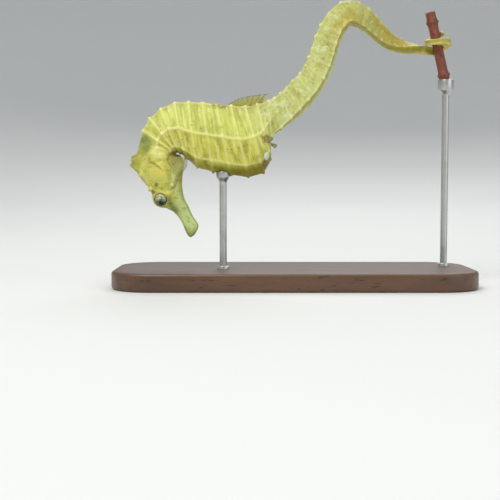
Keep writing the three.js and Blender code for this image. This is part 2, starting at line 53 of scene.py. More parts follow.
BODY_PLANE = -4.0
LOG = logging.getLogger("seahorse")

Colour = tuple[float, float, float]


class Side(Enum):
    """The two sides of the animal, as the sign of Y away from its middle plane."""

    LEFT = -1
    RIGHT = 1


# ---------- Shader trees ----------


class Wire:
    """A socket of a shader tree, on which sums are written as Python expressions."""

    def __init__(self, shader: Shader, socket: bpy.types.NodeSocket | None) -> None:
        """Keeps the tree and the socket.

        Args:
            shader: The tree that the socket belongs to.
            socket: An output socket, or none where the node has no output.
        """
        self.shader = shader
        self.socket = socket

    def _math(self, operation: str, *values: Value) -> Wire:
        """Adds one Math node.

        Args:
            operation: The Math node's operation.
            values: Its inputs, in order.

        Returns:
            The node's output.
        """
        return self.shader.node("ShaderNodeMath", {"operation": operation}, dict(enumerate(values)))

    def __add__(self, other: Value) -> Wire:
        """The sum."""
        return self._math("ADD", self, other)

    def __radd__(self, other: Value) -> Wire:
        """The sum, with this on the right."""
        return self._math("ADD", other, self)

    def __sub__(self, other: Value) -> Wire:
        """The difference."""
        return self._math("SUBTRACT", self, other)

    def __rsub__(self, other: Value) -> Wire:
        """The difference, with this on the right."""
        return self._math("SUBTRACT", other, self)

    def __mul__(self, other: Value) -> Wire:
        """The product."""
        return self._math("MULTIPLY", self, other)

    def __rmul__(self, other: Value) -> Wire:
        """The product, with this on the right."""
        return self._math("MULTIPLY", other, self)

    def clamp(self) -> Wire:
        """The value kept between 0 and 1."""
        return self.smooth(0.0, 1.0, "LINEAR")

    def smooth(self, low: float, high: float, kind: str = "SMOOTHSTEP") -> Wire:
        """A step from 0 at low to 1 at high.

        Args:
            low: The value that gives 0.
            high: The value that gives 1.
            kind: The Map Range node's interpolation.

        Returns:
            The step's output.
        """
        return self.shader.node(
            "ShaderNodeMapRange",
            {"interpolation_type": kind, "clamp": True},
            {"Value": self, "From Min": low, "From Max": high, "To Min": 0.0, "To Max": 1.0},
        )


Value = Wire | float


class Shader:
    """A material and its node tree, in which one method makes every node."""

    def __init__(self, name: str) -> None:
        """Starts an empty tree.

        Args:
            name: The material's name.
        """
        self.material = bpy.data.materials.new(name)
        self.material.use_nodes = True
        self.tree = self.material.node_tree
        self.tree.nodes.clear()

    def node(
        self, kind: str, settings: dict | None = None, inputs: dict | None = None, out: int | str = 0
    ) -> Wire:
        """Makes a node, sets it up and joins its inputs.

        Args:
            kind: The node's type.
            settings: Its properties by name.
            inputs: Values, colours or wires by socket name or number.
            out: The output that is wanted.

        Returns:
            That output.
        """
        made = self.tree.nodes.new(kind)
        for name, value in (settings or {}).items():
            setattr(made, name, value)
        for key, value in (inputs or {}).items():
            self._join(value, made.inputs[key])
        return Wire(self, made.outputs[out] if made.outputs else None)

    def _join(self, value: Value | Colour, socket: bpy.types.NodeSocket) -> None:
        """Links a wire to a socket, or sets the socket's own value.

        Args:
            value: A wire, a number, a colour or a vector.
            socket: The input.
        """
        if isinstance(value, Wire):
            self.tree.links.new(value.socket, socket)
        elif socket.type == "RGBA" and len(value) == 3:
            socket.default_value = (*value, 1.0)
        else:
            socket.default_value = value

    def attribute(self, name: str) -> Wire:
        """A value stored on the mesh's points.

        Args:
            name: The attribute's name.

        Returns:
            The value.
        """
        return self.node("ShaderNodeAttribute", {"attribute_name": name}, out="Fac")

    def place(self) -> Wire:
        """The point's place in the part's frame, in metres."""
        return self.node("ShaderNodeTexCoord", out="Object")

    def noise(
        self, size_mm: float, detail: float = 3.0, roughness: float = 0.55, vector: Wire | None = None
    ) -> Wire:
        """Soft noise about 0.5.

        Args:
            size_mm: Size of its largest features.
            detail: Number of finer layers.
            roughness: Strength of the finer layers.
            vector: Where it is looked up, or the point's place.

        Returns:
            The noise.
        """
        inputs = {
            "Vector": vector or self.place(),
            "Scale": 1.0 / (size_mm * MM),
            "Detail": detail,
            "Roughness": roughness,
        }
        return self.node("ShaderNodeTexNoise", {"noise_dimensions": "3D"}, inputs)

    def cells(self, size_mm: float) -> Wire:
        """Distance to the nearest of many scattered points, about 0 to 1.

        Args:
            size_mm: Distance between the points.

        Returns:
            The distance.
        """
        inputs = {"Vector": self.place(), "Scale": 1.0 / (size_mm * MM), "Randomness": 1.0}
        return self.node("ShaderNodeTexVoronoi", {"feature": "F1"}, inputs)

    def scaled(self, vector: Wire, scale: tuple[float, float, float]) -> Wire:
        """A vector scaled along each axis.

        Args:
            vector: The vector.
            scale: Its factors.

        Returns:
            The scaled vector.
        """
        return self.node("ShaderNodeVectorMath", {"operation": "MULTIPLY"}, {0: vector, 1: scale})

    def mix(self, start: Wire | Colour, end: Wire | Colour, share: Value) -> Wire:
        """A colour between two others.

        Args:
            start: The colour at share 0.
            end: The colour at share 1.
            share: How much of the second.

        Returns:
            The colour.
        """
        settings = {"data_type": "RGBA", "blend_type": "MIX", "clamp_factor": True}
        return self.node("ShaderNodeMix", settings, {0: share, 6: start, 7: end}, out=2)

    def bump(self, height: Value, depth_mm: float, strength: float = 1.0) -> Wire:
        """A Bump node for a height from 0 to 1.

        Args:
            height: The height.
            depth_mm: What a height of 1 stands for.
            strength: Share of the effect.

        Returns:
            The normal.
        """
        inputs = {"Height": height, "Distance": depth_mm * MM, "Strength": strength}
        return self.node("ShaderNodeBump", inputs=inputs)

    def surface(self, **inputs: Value | Colour) -> bpy.types.Material:
        """Finishes the material with one Principled shader.

        Args:
            inputs: Its sockets, with underscores for spaces.

        Returns:
            The material.
        """
        named = {key.replace("_", " "): value for key, value in inputs.items()}
        shade = self.node("ShaderNodeBsdfPrincipled", inputs=named)
        self.node("ShaderNodeOutputMaterial", {}, {"Surface": shade})
        return self.material


# ---------- Meshes ----------


def smoothstep(value: np.ndarray | float, low: float, high: float) -> np.ndarray:
    """A smooth step from 0 at low to 1 at high.

    Args:
        value: Where it is read.
        low: The value that gives 0.
        high: The value that gives 1.

    Returns:
        The step.
    """
    share = np.clip((np.asarray(value, float) - low) / (high - low), 0.0, 1.0)
    return share * share * (3.0 - 2.0 * share)


def bell(distance: np.ndarray, width: float) -> np.ndarray:
    """A bell of height 1 about distance 0."""
    return np.exp(-((distance / width) ** 2))


def unit(vectors: np.ndarray) -> np.ndarray:
    """The vectors at length 1."""
    return vectors / np.maximum(np.linalg.norm(vectors, axis=-1, keepdims=True), 1e-9)


def about_y(angle: float) -> np.ndarray:
    """The matrix of a turn about Y, for an angle in radians."""
    c, s = math.cos(angle), math.sin(angle)
    return np.array([[c, 0, s], [0, 1, 0], [-s, 0, c]])


def about_z(angle: float) -> np.ndarray:
    """The matrix of a turn about Z, for an angle in radians."""
    c, s = math.cos(angle), math.sin(angle)
    return np.array([[c, -s, 0], [s, c, 0], [0, 0, 1]])


def level_circle(count: int) -> np.ndarray:
    """Points evenly round a level circle of radius 1."""
    turn = np.linspace(0, 2 * np.pi, count, endpoint=False)
    return np.stack([np.cos(turn), np.sin(turn), np.zeros_like(turn)], axis=1)


@dataclass
class Sheet:
    """A mesh in the making: points in millimetres, faces with their map places, and values at the points."""

    points: np.ndarray
    faces: list[tuple[int, ...]]
    uvs: list[tuple[tuple[float, float], ...]]
    values: dict[str, np.ndarray]

    @staticmethod
    def rolled(rings: list[np.ndarray], values: dict[str, np.ndarray] | None = None) -> Sheet:
        """Skins a row of closed rings, where a ring may have half as many points as the one before.

        Args:
            rings: Points of each ring, in order.
            values: Values at the points, in the rings' order.

        Returns:
            The closed sheet, with a fan at each end.
        """
        starts = np.concatenate([[0], np.cumsum([len(ring) for ring in rings])])
        faces, uvs = [], []
        for index in range(len(rings) - 1):
            before, after = len(rings[index]), len(rings[index + 1])
            here, there = int(starts[index]), int(starts[index + 1])
            low, high = index / len(rings), (index + 1) / len(rings)
            step = before // after
            for column in range(after):
                beside = column + 1
                first = [here + (column * step + extra) % before for extra in range(step + 1)]
                faces.append((*first, there + beside % after, there + column))
                bottom = [((column * step + extra) / before, low) for extra in range(step + 1)]
                uvs.append((*bottom, (beside / after, high), (column / after, high)))
        total = int(starts[-1])
        points = np.vstack([*rings, rings[0].mean(0), rings[-1].mean(0)])
        for ring, hub, start, level, turn in (
            (rings[0], total, 0, 0.0, 1),
            (rings[-1], total + 1, int(starts[-2]), 1.0, -1),
        ):
            count = len(ring)
            for column in range(count):
                pair = (start + column, start + (column + 1) % count)[::turn]
                places = ((column / count, level), ((column + 1) / count, level))[::turn]
                faces.append((hub, pair[1], pair[0]))
                uvs.append((((column + 0.5) / count, level), places[1], places[0]))
        kept = {
            name: np.concatenate([value, [value[0], value[-1]]]) for name, value in (values or {}).items()
        }
        return Sheet(points, faces, uvs, kept)

    @staticmethod
    def plate(front: np.ndarray, rear: np.ndarray) -> Sheet:
        """A thin closed plate between two grids of points.

        Args:
            front: One face, by row and column.
            rear: The other face, with as many.

        Returns:
            The sheet.
        """
        rows, columns = front.shape[:2]
        number = np.arange(rows * columns).reshape(rows, columns)
        other = number + rows * columns
        faces, uvs = [], []

        def add(*corners: tuple[np.ndarray, int, int]) -> None:
            """Adds one face with its map places.

            Args:
                corners: Grid, row and column of each corner.
            """
            faces.append(tuple(int(grid[row, column]) for grid, row, column in corners))
            uvs.append(tuple(
                (0.5 * (column / (columns - 1)) + 0.5 * (grid is other), row / (rows - 1))
                for grid, row, column in corners
            ))

        for row in range(rows - 1):
            for column in range(columns - 1):
                corners = ((row, column), (row, column + 1), (row + 1, column + 1), (row + 1, column))
                add(*((number, *corner) for corner in corners))
                add(*((other, *corner) for corner in reversed(corners)))
            for column, way in ((0, 1), (columns - 1, -1)):
                border = [
                    (number, row, column), (number, row + 1, column),
                    (other, row + 1, column), (other, row, column),
                ]
                add(*border[::way])
        for column in range(columns - 1):
            for row, way in ((0, -1), (rows - 1, 1)):
                border = [
                    (number, row, column), (number, row, column + 1),
                    (other, row, column + 1), (other, row, column),
                ]
                add(*border[::way][::-1])
        return Sheet(np.vstack([front.reshape(-1, 3), rear.reshape(-1, 3)]), faces, uvs, {})

    def outward(self) -> Sheet:
        """The sheet with its faces turned outwards, if they aren't yet.

        Returns:
            This sheet.
        """
        triangles = [(f[0], f[i], f[i + 1]) for f in self.faces for i in range(1, len(f) - 1)]
        a, b, c = (self.points[np.array(triangles)[:, k]] for k in range(3))
        if np.einsum("ij,ij->", a, np.cross(b, c)) < 0:
            self.faces = [face[::-1] for face in self.faces]
            self.uvs = [places[::-1] for places in self.uvs]
        return self

    def build(self, name: str, material: bpy.types.Material, crease_deg: float = 60.0) -> bpy.types.Object:
        """Makes the Blender object.

        Args:
            name: Its name.
            material: Its material.
            crease_deg: Edges sharper than this stay sharp.

        Returns:
            The object.
        """
        self.outward()
        mesh = bpy.data.meshes.new(name)
        mesh.from_pydata((self.points * MM).tolist(), [], self.faces)
        uv_layer = mesh.uv_layers.new(name="OFBake")
        uv_layer.data.foreach_set("uv", np.array([c for face in self.uvs for c in face], np.float32).ravel())
        for key, value in self.values.items():
            layer = mesh.attributes.new(key, "FLOAT", "POINT")
            layer.data.foreach_set("value", np.asarray(value, np.float32))
        mesh.materials.append(material)
        mesh.shade_smooth()
        mesh.set_sharp_from_angle(angle=math.radians(crease_deg))
        mesh.update()
        piece = bpy.data.objects.new(name, mesh)
        bpy.context.scene.collection.objects.link(piece)
        return piece


def place_piece(piece: bpy.types.Object, slot: str, *nodes: str) -> bpy.types.Object:
    """Puts a finished piece on the part's body.

    Args:
        piece: The piece, in place.
        slot: The record's material slot; not used.
        nodes: The solids that it stands for.

    Returns:
        The piece.
    """
    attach(piece, "root")
    if nodes:
        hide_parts(*nodes)
    LOG.info("%s: %d faces, for %s", piece.name, len(piece.data.polygons), ", ".join(nodes) or "no solid")
    return piece


# ---------- The animal's sections ----------


class Curve:
    """A smooth curve through points, with its knots spaced by the square root of the points' distances."""

    def __init__(self, points: list | np.ndarray) -> None:
        """Adds a mirrored point at each end.

        Args:
            points: The points that it goes through.
        """
        inner = np.asarray(points, float)
        self.last = len(inner) - 1
        self.points = np.vstack([2 * inner[0] - inner[1], inner, 2 * inner[-1] - inner[-2]])

    def at(self, share: np.ndarray) -> np.ndarray:
        """Points of the curve.

        Args:
            share: Where, from 0 to 1, with the points evenly apart.

        Returns:
            One row for each share.
        """
        place = np.clip(share, 0.0, 1.0) * self.last
        first = np.minimum(place.astype(int), self.last - 1)
        t = (place - first)[:, None]
        p0, p1, p2, p3 = (self.points[first + k] for k in range(4))
        gaps = [((b - a) ** 2).sum(1, keepdims=True) ** 0.25 for a, b in ((p0, p1), (p1, p2), (p2, p3))]
        d0, d1, d2 = (np.maximum(gap, 1e-4) for gap in gaps)
        leave = ((p1 - p0) / d0 - (p2 - p0) / (d0 + d1) + (p2 - p1) / d1) * d1
        arrive = ((p2 - p1) / d1 - (p3 - p1) / (d1 + d2) + (p3 - p2) / d2) * d1
        bend = 3 * (p2 - p1) - 2 * leave - arrive
        return p1 + leave * t + bend * t**2 + (2 * (p1 - p2) + leave + arrive) * t**3

    def along(self, share: np.ndarray) -> np.ndarray:
        """Unit directions of the curve at the shares."""
        step = 1e-4
        return unit(self.at(np.minimum(share + step, 1.0)) - self.at(np.maximum(share - step, 0.0)))

    def by_length(self, share: np.ndarray) -> np.ndarray:
        """Shares of the curve for shares of its length.

        Args:
            share: Shares of its length, from 0 to 1.

        Returns:
            Shares as `at` takes them.
        """
        knots = np.linspace(0.0, 1.0, 801)
        steps = np.linalg.norm(np.diff(self.at(knots), axis=0), axis=1)
        length = np.concatenate([[0.0], np.cumsum(steps)])
        return np.interp(share * length[-1], length, knots)


@dataclass(frozen=True)
class Station:
    """Where the back and the belly lie in X and Z, and half the width there."""

    back: tuple[float, float]
    belly: tuple[float, float]
    half: float


OUTLINE = {
    "mouth": Station((-34.9, 16.3), (-33.0, 17.2), 1.1),
    "lips": Station((-36.1, 18.4), (-31.8, 20.3), 1.8),
    "snout_middle": Station((-37.5, 21.7), (-33.7, 23.6), 1.7),
    "snout_root": Station((-40.1, 24.9), (-35.1, 26.7), 2.1),
    "eye_front": Station((-43.4, 26.4), (-36.4, 29.3), 3.0),
    "eye": Station((-46.2, 28.0), (-37.0, 32.0), 3.7),
    "brow": Station((-47.7, 32.0), (-37.2, 35.4), 3.9),
    "forehead": Station((-50.0, 34.8), (-36.8, 38.4), 4.3),
    "cheek": Station((-51.9, 37.6), (-36.5, 41.2), 4.5),
    "crown": Station((-52.6, 40.9), (-37.4, 43.1), 4.4),
    "nape": Station((-52.2, 43.9), (-38.4, 43.8), 4.2),
    "neck_ring": Station((-51.2, 47.5), (-39.0, 43.9), 4.2),
    "shoulder_ring": Station((-50.1, 51.8), (-39.1, 44.2), 4.7),
    "trunk3": Station((-47.6, 55.5), (-38.7, 44.4), 5.4),
    "trunk4": Station((-43.9, 58.7), (-37.9, 44.2), 6.0),
    "trunk5": Station((-39.4, 60.7), (-35.8, 42.7), 6.5),
    "trunk6": Station((-34.8, 61.0), (-32.1, 39.6), 6.9),
    "trunk7": Station((-30.2, 60.8), (-26.8, 38.2), 7.1),
    "trunk8": Station((-25.6, 60.3), (-21.0, 37.2), 7.1),
    "trunk9": Station((-20.9, 59.8), (-15.2, 36.5), 6.9),
    "trunk10": Station((-16.3, 59.7), (-10.3, 38.0), 6.5),
    "trunk11": Station((-12.4, 60.2), (-7.8, 42.0), 5.9),
    "vent": Station((-8.7, 61.3), (-7.4, 48.5), 5.1),
    "tail1": Station((-6.8, 62.3), (-4.3, 52.0), 4.7),
    "tail2": Station((-4.8, 63.7), (-0.8, 54.7), 4.5),
    "tail3": Station((-2.8, 65.7), (2.5, 57.3), 4.4),
    "tail4": Station((-0.8, 67.8), (5.6, 60.3), 4.3),
}


def station(name: str) -> int:
    """The place of a named station."""
    return list(OUTLINE).index(name)


@dataclass
class Sections:
    """Cross-sections of the animal, one in each row."""

    place: np.ndarray
    centre: np.ndarray
    up: np.ndarray
    side: np.ndarray
    half_depth: np.ndarray
    half_width: np.ndarray
    trunk: np.ndarray
    tail: np.ndarray
    fade: np.ndarray


@dataclass(frozen=True)
class Stem:
    """The cut stem that the tail grips."""

    grip: tuple[float, float, float] = (49.4, 8.0, 79.9)
    lean_deg: float = -13.0
    radius: float = 1.7
    below: float = 12.4
    above: float = 12.6
    joints: tuple[float, ...] = (3.4, 21.6)
    joint_swell: float = 0.5

    @property
    def axis(self) -> np.ndarray:
        """Its direction, upwards."""
        lean = math.radians(self.lean_deg)
        return np.array([math.sin(lean), 0.0, math.cos(lean)])

    @property
    def across(self) -> np.ndarray:
        """The direction across it, in the plane of X and Z."""
        lean = math.radians(self.lean_deg)
        return np.array([math.cos(lean), 0.0, -math.sin(lean)])

    @property
    def foot(self) -> np.ndarray:
        """Centre of its lower cut."""
        return np.array(self.grip) - self.axis * self.below


class Anatomy:
    """The animal's shape: sections along one line from the mouth to the tail's tip.

    A place counts stations up to the tail's fourth ring, and tail rings beyond it.
    """

    TAIL_RINGS = 32
    FREE_TAIL = (
        (2.4, -4.0, 64.1, 9.9), (5.3, -4.0, 67.6, 9.4), (8.7, -4.0, 74.2, 9.0), (10.8, -4.2, 81.1, 8.7),
        (13.6, -4.3, 86.7, 8.3), (17.3, -3.8, 89.8, 8.1), (21.7, -1.8, 89.2, 7.2), (26.9, 1.6, 85.9, 5.8),
        (31.9, 5.0, 82.4, 4.8), (37.5, 8.2, 80.7, 4.1), (43.3, 10.6, 80.3, 3.6),
    )  # centre and shown depth
    TAIL_FLATNESS = 0.9
    TAIL_ROLL = math.radians(13.0)
    LAST_RING_SHARE = 0.5
    JOIN_RINGS = 3.0
    GRIP_TURN = math.radians(490.0)
    GRIP_START = math.radians(110.0)
    GRIP_STEPS = 16
    GRIP_CLIMB = 3.8
    GRIP_DEPTH = 3.3
    TIP_DEPTH = 1.1
    CUT = 0.3  # clearance from the stem
    GRIP_BLEND = (5, 2)  # points before and after the free tail's end, over which it turns to the stem
    ROUND = ((0, 1), (0.5, 0.866), (1, 0), (0.707, -0.707), (0, -1))
    TRUNK = ((0, 0.93), (0.4, 0.99), (1, 0.05), (0.7, -0.68), (0, -1))
    TAIL = ((0, 0.86), (0.84, 0.99), (0.9, 0), (0.84, -0.99), (0, -0.86))
    ROUND_BULGE = (0.035, 0.155, 0.082, 0.082)
    TRUNK_BULGE = (0.01, 0.11, 0.05, 0.07)
    TAIL_BULGE = (-0.01, -0.02, -0.02, -0.01)

    def __init__(self, stem: Stem) -> None:
        """Lays the rails.

        Args:
            stem: What the tail grips.
        """
        self.stem = stem
        self.outline_end = len(OUTLINE) - 1
        rows = OUTLINE.values()
        self.back = Curve([(row.back[0], BODY_PLANE, row.back[1]) for row in rows])
        self.belly = Curve([(row.belly[0], BODY_PLANE, row.belly[1]) for row in rows])
        self.width = Curve([(index, row.half, 0.0) for index, row in enumerate(rows)])
        free = np.array(self.FREE_TAIL)
        grip = np.array([self._grip(step / self.GRIP_STEPS) for step in range(self.GRIP_STEPS + 1)])
        way = np.vstack([free, grip])
        self.tail_line = Curve(way[:, :3])
        self.tail_depth = Curve([(index, depth, 0.0) for index, depth in enumerate(way[:, 3])])
        self.grip_from = (len(free) - self.GRIP_BLEND[0]) / (len(way) - 1)
        self.grip_whole = (len(free) + self.GRIP_BLEND[1]) / (len(way) - 1)
        self.end = self.outline_end + self.TAIL_RINGS

    def _grip(self, share: float) -> tuple[float, ...]:
        """Centre and depth of the tail where it winds round the stem.

        Args:
            share: How much of the winding lies before it.

        Returns:
            X, Y, Z and depth.
        """
        angle = self.GRIP_START - share * self.GRIP_TURN
        depth = self.GRIP_DEPTH + (self.TIP_DEPTH - self.GRIP_DEPTH) * share
        reach = self.stem.radius + self.CUT + depth / 2
        rise = self.GRIP_CLIMB * share * self.GRIP_TURN / (2 * math.pi)
        centre = np.array(self.stem.grip) + self.stem.axis * rise + self.stem.across * reach * math.cos(angle)
        centre[1] += reach * math.sin(angle)
        return (*centre, depth)

    def _roll_swell(self, roll: np.ndarray | float) -> np.ndarray:
        """How much deeper a rolled square section looks from the side than it is."""
        return np.cos(roll) + self.TAIL_FLATNESS * np.abs(np.sin(roll))

    def sections(self, place: np.ndarray) -> Sections:
        """Sections at places along the animal.

        Args:
            place: The places, in rising order.

        Returns:
            The sections.
        """
        front = self._front(place[place <= self.outline_end])
        tail = self._tail(place[place > self.outline_end] - self.outline_end)
        joined = {key: np.concatenate([getattr(front, key), getattr(tail, key)]) for key in vars(front)}
        return Sections(**joined)

    def _front(self, place: np.ndarray) -> Sections:
        """Sections from the mouth to the tail's fourth ring.

        Args:
            place: The places.

        Returns:
            The sections.
        """
        share = place / self.outline_end
        back, belly = self.back.at(share), self.belly.at(share)
        level = unit(back - belly)
        right = np.tile([0.0, 1.0, 0.0], (len(place), 1))
        roll = (self.TAIL_ROLL * smoothstep(place, station("vent"), self.outline_end))[:, None]
        half = np.linalg.norm(back - belly, axis=1) / 2
        return Sections(
            place=place,
            centre=(back + belly) / 2,
            up=level * np.cos(roll) + right * np.sin(roll),
            side=right * np.cos(roll) - level * np.sin(roll),
            half_depth=half / self._roll_swell(roll[:, 0]),
            half_width=self.width.at(share)[:, 1],
            trunk=smoothstep(place, station("crown"), station("trunk4")),
            tail=smoothstep(place, station("trunk10"), station("tail2")),
            fade=smoothstep(place, station("neck_ring"), station("trunk4")),
        )

    def _tail(self, ring: np.ndarray) -> Sections:
        """Sections of the free tail.

        Args:
            ring: Its rings, counted from the fourth.

        Returns:
            The sections.
        """
        share = np.clip(ring / self.TAIL_RINGS, 0.0, 1.0)
        loss = (1 - self.LAST_RING_SHARE) / 2
        knot = self.tail_line.by_length((share - loss * share**2) / (1 - loss))
        centre, along = self.tail_line.at(knot), self.tail_line.along(knot)
        level = unit(np.cross(along, [0.0, 1.0, 0.0]))
        level = level * math.cos(self.TAIL_ROLL) - np.cross(along, level) * math.sin(self.TAIL_ROLL)
        away = centre - np.array(self.stem.grip)
        away = away - (away @ self.stem.axis)[:, None] * self.stem.axis
        away = unit(away - (away * along).sum(1, keepdims=True) * along)
        gripped = smoothstep(knot, self.grip_from, self.grip_whole)
        up = level + (away - level) * gripped[:, None]
        up = unit(up - (up * along).sum(1, keepdims=True) * along)
        joint = unit((self.back.at(np.ones(1)) - self.belly.at(np.ones(1)))[0])
        joint = joint * math.cos(self.TAIL_ROLL) + np.array([0.0, math.sin(self.TAIL_ROLL), 0.0])
        up = unit(joint + (up - joint) * smoothstep(ring, 0.0, self.JOIN_RINGS)[:, None])
        swell = self._roll_swell(self.TAIL_ROLL)
        depth = self.tail_depth.at(knot)[:, 1] / (swell + (1 - swell) * gripped)
        ones = np.ones(len(ring))
        return Sections(
            place=ring + self.outline_end,
            centre=centre,
            up=up,
            side=unit(np.cross(up, along)),
            half_depth=depth / 2,
            half_width=depth * self.TAIL_FLATNESS / 2,
            trunk=ones * 0,
            tail=ones,
            fade=depth / self.FREE_TAIL[0][3],
        )

    def outline(self, sections: Sections, around: np.ndarray) -> np.ndarray:
        """Section outlines as shares of half the width and half the depth.

        Args:
            sections: The sections.
            around: Where round them: 0 on the back to 4 on the belly, less than 0 on the left side.

        Returns:
            Rows of [to the side, upwards] pairs.
        """
        turn = np.abs(around)
        first = np.minimum(turn.astype(int), 3)
        share = (turn - first)[None, :]

        def blended(round_: tuple, trunk: tuple, tail: tuple) -> np.ndarray:
            """Values of the three kinds of section, blended for each section.

            Args:
                round_: Values on the head.
                trunk: Values on the trunk.
                tail: Values on the tail.

            Returns:
                One row for each section.
            """
            a, b, c = (np.asarray(kind, float) for kind in (round_, trunk, tail))
            in_trunk, in_tail = sections.trunk[:, None, None], sections.tail[:, None, None]
            body = a + (b - a) * in_trunk
            return body + (c - body) * in_tail

        corners = blended(self.ROUND, self.TRUNK, self.TAIL)
        kinds = (self.ROUND_BULGE, self.TRUNK_BULGE, self.TAIL_BULGE)
        bulges = blended(*(np.array(kind)[:, None] for kind in kinds))
        side = corners[:, first, 0] * (1 - share) + corners[:, first + 1, 0] * share
        lift = corners[:, first, 1] * (1 - share) + corners[:, first + 1, 1] * share
        swell = 1 + bulges[:, first, 0] * 4 * share * (1 - share)
        return np.stack([side * swell * np.sign(around + 1e-9), lift * swell], axis=2)


# ---------- The skin ----------


@dataclass(frozen=True)
class Spot:
    """A soft oval place on both sides of the animal, in X and Z."""

    x: float
    z: float
    reach_x: float
    reach_z: float
    strength: float = 1.0

    def share(self, points: np.ndarray) -> np.ndarray:
        """How much each point lies in it.

        Args:
            points: The points.

        Returns:
            Up to its strength at the middle, falling to 0.
        """
        gap = np.hypot((points[..., 0] - self.x) / self.reach_x, (points[..., 2] - self.z) / self.reach_z)
        return self.strength * (1 - smoothstep(gap, 0.35, 1.0))


@dataclass(frozen=True)
class Line:
    """A raised, sunken or painted line on both sides of the animal, through places in X and Z."""

    way: tuple[tuple[float, float], ...]
    width: float
    height: float = 1.0

    def share(self, points: np.ndarray) -> np.ndarray:
        """Its height at each point.

        Args:
            points: The points.

        Returns:
            Up to its height on the line, falling to 0.
        """
        best = np.full(points.shape[:-1], np.inf)
        flat = points[..., (0, 2)]
        for start, end in zip(self.way, self.way[1:]):
            leg = np.subtract(end, start)
            share = np.clip(((flat - start) @ leg) / (leg @ leg), 0.0, 1.0)
            gap = flat - (np.asarray(start) + share[..., None] * leg)
            best = np.minimum(best, np.hypot(gap[..., 0], gap[..., 1]))
        return self.height * bell(best, self.width)


@dataclass(frozen=True)
class EyePlace:
    """Where an eye sits and looks."""

    side: Side
    x: float = -43.9
    z: float = 29.2
    offset: float = 2.8
    radius: float = 2.25
    rim: float = 2.04

    @property
    def centre(self) -> np.ndarray:
        """Centre of the eyeball."""
        return np.array([self.x, BODY_PLANE + self.side.value * self.offset, self.z])

    @property
    def opening(self) -> np.ndarray:
        """Direction in which its socket faces."""
        return unit(np.array([-0.15, self.side.value, -0.22]))

    @property
    def gaze(self) -> np.ndarray:
        """Direction in which it looks: outwards and towards the snout."""
        return unit(np.array([0.02, self.side.value * 0.76, -0.65]))


@dataclass(frozen=True)
class Coronet:
    """The low crown on top of the head."""

    foot: tuple[float, float, float] = (-51.3, BODY_PLANE, 41.0)
    lean_deg: float = -78.0
    rim_radius: float = 1.45
    rim_height: float = 2.45
    hollow: float = 0.7
    points: int = 5
    point_height: float = 0.55
    slope: float = 1.25
    flute: float = 0.16
    softness: float = 0.12
    reach: tuple[float, float] = (2.7, 3.7)
    shade: tuple[float, float] = (1.6, 3.6)

    def raise_skin(self, points: np.ndarray) -> tuple[np.ndarray, np.ndarray]:
        """Draws the crown up out of the head.

        Args:
            points: The skin's points.

        Returns:
            How far each point moves, and how much it belongs to the crown.
        """
        lean = math.radians(self.lean_deg)
        axis = np.array([math.sin(lean), 0.0, math.cos(lean)])
        upward = np.array([math.cos(lean), 0.0, -math.sin(lean)])
        away = points - np.array(self.foot)
        height = away @ axis
        u, v = away @ upward, away[..., 1]
        radius = np.hypot(u, v)
        wave = np.cos(self.points * np.arctan2(v, u))
        rim = self.rim_height + self.point_height * np.maximum(wave, 0) ** 1.5
        bowl = rim - self.hollow * (1 - smoothstep(radius, 0.2, self.rim_radius))
        flank = rim + self.flute * wave * bell(radius - 2.0, 0.8) - self.slope * (radius - self.rim_radius)
        target = np.where(radius < self.rim_radius, bowl, flank)
        gap = target - height
        lift = 0.5 * (gap + np.sqrt(gap**2 + self.softness))
        lift = lift * (1 - smoothstep(radius, *self.reach)) * (height > -0.5)
        return lift[..., None] * axis, 1 - smoothstep(radius, *self.shade)


